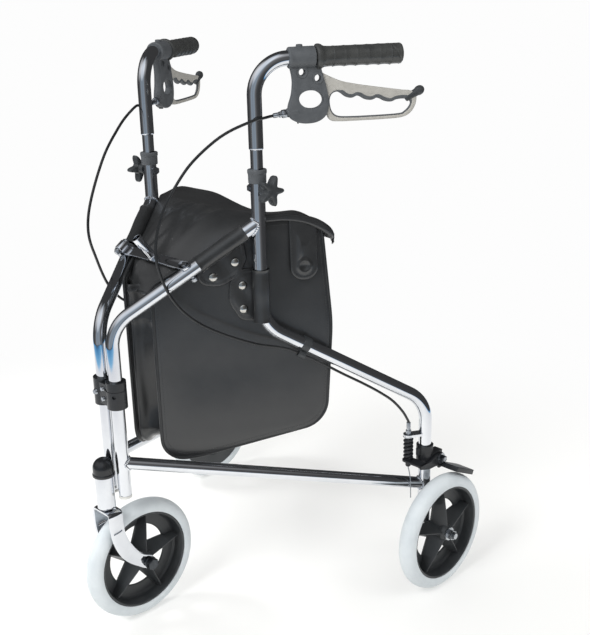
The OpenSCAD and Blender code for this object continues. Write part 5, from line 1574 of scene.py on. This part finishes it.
@dataclass
class Studio:
    """Floor, lights and camera."""

    eye: tuple[float, float, float] = (1191.04, -996.35, 972.51)
    azimuth: float = 45.835
    elevation: float = 18.4595
    roll: float = -1.5136
    focal_px: float = 999.81
    tall_px: float = 635.0
    patches: Sequence = (((0.17, -0.66, 0.73), 0.8, 0.5), ((-0.55, -0.62, 0.56), 0.86, 0.55),
                         ((0.6, -0.25, 0.76), 0.88, 0.3))
    hung: Sequence = (("key", (0.4, -2.5, 2.5), 1.3, 75.0), ("left", (-1.8, -1.0, 1.9), 0.7, 30.0),
                      ("fill", (2.2, 0.6, 2.0), 1.4, 14.0))

    def camera(self) -> None:
        """Sets the camera from its fitted place, turn and focal length."""
        a, e, k = (math.radians(v) for v in (self.azimuth, self.elevation, self.roll))
        c = np.array([math.cos(e) * math.sin(a), -math.cos(e) * math.cos(a), math.sin(e)])
        r = np.array([math.cos(a), math.sin(a), 0.0])
        u = np.cross(c, r)
        x, y = math.cos(k) * r + math.sin(k) * u, -math.sin(k) * r + math.cos(k) * u
        data = bpy.data.cameras.new("camera")
        data.sensor_width, data.sensor_fit = 36.0, "AUTO"
        data.lens = self.focal_px * 36.0 / self.tall_px
        data.clip_end = 100
        cam = bpy.data.objects.new("camera", data)
        m = np.eye(4)
        m[:3, 0], m[:3, 1], m[:3, 2], m[:3, 3] = x, y, c, np.array(self.eye) * MM
        cam.matrix_world = Matrix(m.tolist())
        bpy.context.scene.collection.objects.link(cam)
        bpy.context.scene.camera = cam

    def floor(self) -> None:
        """Lays a pale floor that keeps the shadow and turns plain white away from the object.

        In the chrome it is a sheet of paper that ends 1.4 m out, with a blue border and a dim room floor
        beyond.
        """
        a = angles(64)
        ring = np.stack([np.cos(a), np.sin(a), 0 * a], 1)
        grid = np.array([0.01, 1500, 3200])[:, None, None] * ring[None]
        mat = bpy.data.materials.new("pale_paper_floor")
        mat.use_nodes = True
        tree = mat.node_tree
        tree.nodes.clear()
        where = add(tree, "ShaderNodeTexCoord").outputs["Object"]
        far = add(tree, "ShaderNodeVectorMath", {"operation": "LENGTH"}, links={0: where}).outputs["Value"]
        fade = add(tree, "ShaderNodeMapRange", {"interpolation_type": "SMOOTHSTEP"},
                   {"From Min": 0.5, "From Max": 1.3, "To Min": 0.42}, {"Value": far}).outputs[0]
        paper = add(tree, "ShaderNodeBsdfDiffuse", values={"Color": linear("#f4f4f1")})
        plain = add(tree, "ShaderNodeEmission", values={"Color": linear("#fdfdfd"), "Strength": 1.0})
        both = add(tree, "ShaderNodeMixShader", links={0: fade, 1: paper.outputs[0], 2: plain.outputs[0]})
        dim = self.streak(tree, where)
        reach = add(tree, "ShaderNodeMapRange", values={"From Max": 3.2}, links={"Value": far}).outputs[0]
        sheet = ramp(tree, reach, [(0.0, grey(0.95)), (0.435, grey(0.9)), (0.452, linear("#8cc4ea")),
                                   (0.495, linear("#4f8fc2")), (0.51, grey(0.06)), (1.0, grey(0.05))])
        past = ramp(tree, reach, [(0.5, grey(0.0)), (0.56, grey(1.0))])
        room = add(tree, "ShaderNodeMix", {"data_type": "RGBA"},
                   links={0: past, 6: sheet, 7: dim}).outputs[2]
        glint = add(tree, "ShaderNodeEmission", values={"Strength": 1.0}, links={"Color": room})
        ray = add(tree, "ShaderNodeLightPath").outputs
        away = ramp(tree, reach, [(0.3, grey(0.0)), (0.42, grey(1.0))])
        pick = add(tree, "ShaderNodeMath", {"operation": "MULTIPLY"},
                   links={0: ray["Is Glossy Ray"], 1: away}).outputs[0]
        out = add(tree, "ShaderNodeMixShader", links={0: pick, 1: both.outputs[0], 2: glint.outputs[0]})
        add(tree, "ShaderNodeOutputMaterial", links={"Surface": out.outputs[0]})
        mesh = bpy.data.meshes.new("floor")
        shell = Shell().grid(grid, wrap=True)
        mesh.from_pydata((np.concatenate(shell.points) * MM).tolist(), [], shell.faces)
        mesh.materials.append(mat)
        obj = bpy.data.objects.new("floor", mesh)
        bpy.context.scene.collection.objects.link(obj)

    def streak(self, tree: bpy.types.NodeTree, way: Any) -> Any:
        """Dim room round the set by direction: darkest at the right, lighter towards the left of the camera.

        Args:
            tree: node tree to add to.
            way: output socket with the direction.
        Returns:
            Colour output.
        """
        a = math.radians(self.azimuth)
        flat = add(tree, "ShaderNodeVectorMath", {"operation": "MULTIPLY"}, {1: (1.0, 1.0, 0.0)},
                   {0: way}).outputs[0]
        level = add(tree, "ShaderNodeVectorMath", {"operation": "NORMALIZE"}, links={0: flat}).outputs[0]
        left = (math.sin(a - 0.42), -math.cos(a - 0.42), 0.0)
        face = add(tree, "ShaderNodeVectorMath", {"operation": "DOT_PRODUCT"}, {1: left},
                   {0: level}).outputs["Value"]
        turn = add(tree, "ShaderNodeMapRange", values={"From Min": -1.0, "From Max": 1.0},
                   links={"Value": face}).outputs[0]
        return ramp(tree, turn, [(0.0, grey(0.045)), (0.6, grey(0.05)), (0.78, grey(0.08)),
                                 (0.9, grey(0.17)), (0.965, linear("#929ea9")), (1.0, linear("#87919b"))])

    def world(self) -> None:
        """White for the camera, even light for the object, and in the chrome a dim room with lit patches."""
        world = bpy.data.worlds.new("studio")
        bpy.context.scene.world = world
        world.use_nodes = True
        tree = world.node_tree
        tree.nodes.clear()
        way = add(tree, "ShaderNodeTexCoord").outputs["Generated"]
        room = self.streak(tree, way)
        for spot, low, peak in self.patches:
            near = add(tree, "ShaderNodeVectorMath", {"operation": "DOT_PRODUCT"}, {1: spot},
                       {0: way}).outputs["Value"]
            glow = ramp(tree, near, [(low, grey(0.0)), (low + 0.1, grey(0.7 * peak)), (0.99, grey(peak))])
            room = add(tree, "ShaderNodeMix", {"data_type": "RGBA", "blend_type": "ADD"}, {0: 1.0},
                       {6: room, 7: glow}).outputs[2]
        ray = add(tree, "ShaderNodeLightPath").outputs
        shine = add(tree, "ShaderNodeBackground", values={"Strength": 1.0}, links={"Color": room})
        soft = add(tree, "ShaderNodeBackground", values={"Color": linear("#ffffff"), "Strength": 0.66})
        white = add(tree, "ShaderNodeBackground", values={"Color": linear("#fdfdfd"), "Strength": 1.0})
        mixed = add(tree, "ShaderNodeMixShader",
                    links={0: ray["Is Glossy Ray"], 1: soft.outputs[0], 2: shine.outputs[0]})
        seen = add(tree, "ShaderNodeMath", {"operation": "MAXIMUM"},
                   links={0: ray["Is Camera Ray"], 1: ray["Is Transmission Ray"]}).outputs[0]
        final = add(tree, "ShaderNodeMixShader", links={0: seen, 1: mixed.outputs[0], 2: white.outputs[0]})
        add(tree, "ShaderNodeOutputWorld", links={"Surface": final.outputs[0]})

    def lamps(self) -> None:
        """Hangs a wide key lamp in front above, a small one at the left and a fill, unseen in the chrome."""
        for name, spot, size, power in self.hung:
            data = bpy.data.lights.new(name, "AREA")
            data.shape, data.size, data.energy = "DISK", size, power
            lamp = bpy.data.objects.new(name, data)
            aim = np.array([0, 0, 0.4]) - np.array(spot)
            back = -aim / np.linalg.norm(aim)
            right = np.cross(UP, back)
            right = right / np.linalg.norm(right)
            m = np.eye(4)
            m[:3, 0], m[:3, 1], m[:3, 2], m[:3, 3] = right, np.cross(back, right), back, spot
            lamp.matrix_world = Matrix(m.tolist())
            lamp.visible_glossy = False
            bpy.context.scene.collection.objects.link(lamp)

    def build(self) -> None:
        """Sets camera, floor, light and the plain view transform."""
        self.camera()
        self.floor()
        self.world()
        self.lamps()
        bpy.context.scene.view_settings.view_transform = "Standard"


def main() -> None:
    """Builds the sub-assemblies in order."""
    logging.basicConfig(level=logging.INFO, format="%(name)s: %(message)s")
    layout = Layout()
    Studio().build()
    for side in Side:
        BrakeLine(layout, side).build()
        TubeFrame(layout, side).build()
        Handle(layout, side).build()
    Wheel("front", "front_wheel", (-4.832, -197.002, 100.0), 10.0).build()
    Wheel("left", "left_wheel", (298.0, 197.002, 100.0)).build()
    Wheel("right", "right_wheel", (-298.0, 197.002, 100.0), 0.0, -1.0).build()
    Caster().build()
    Hinge().build()
    Bag(layout).build()


if __name__ == "__main__":
    main()
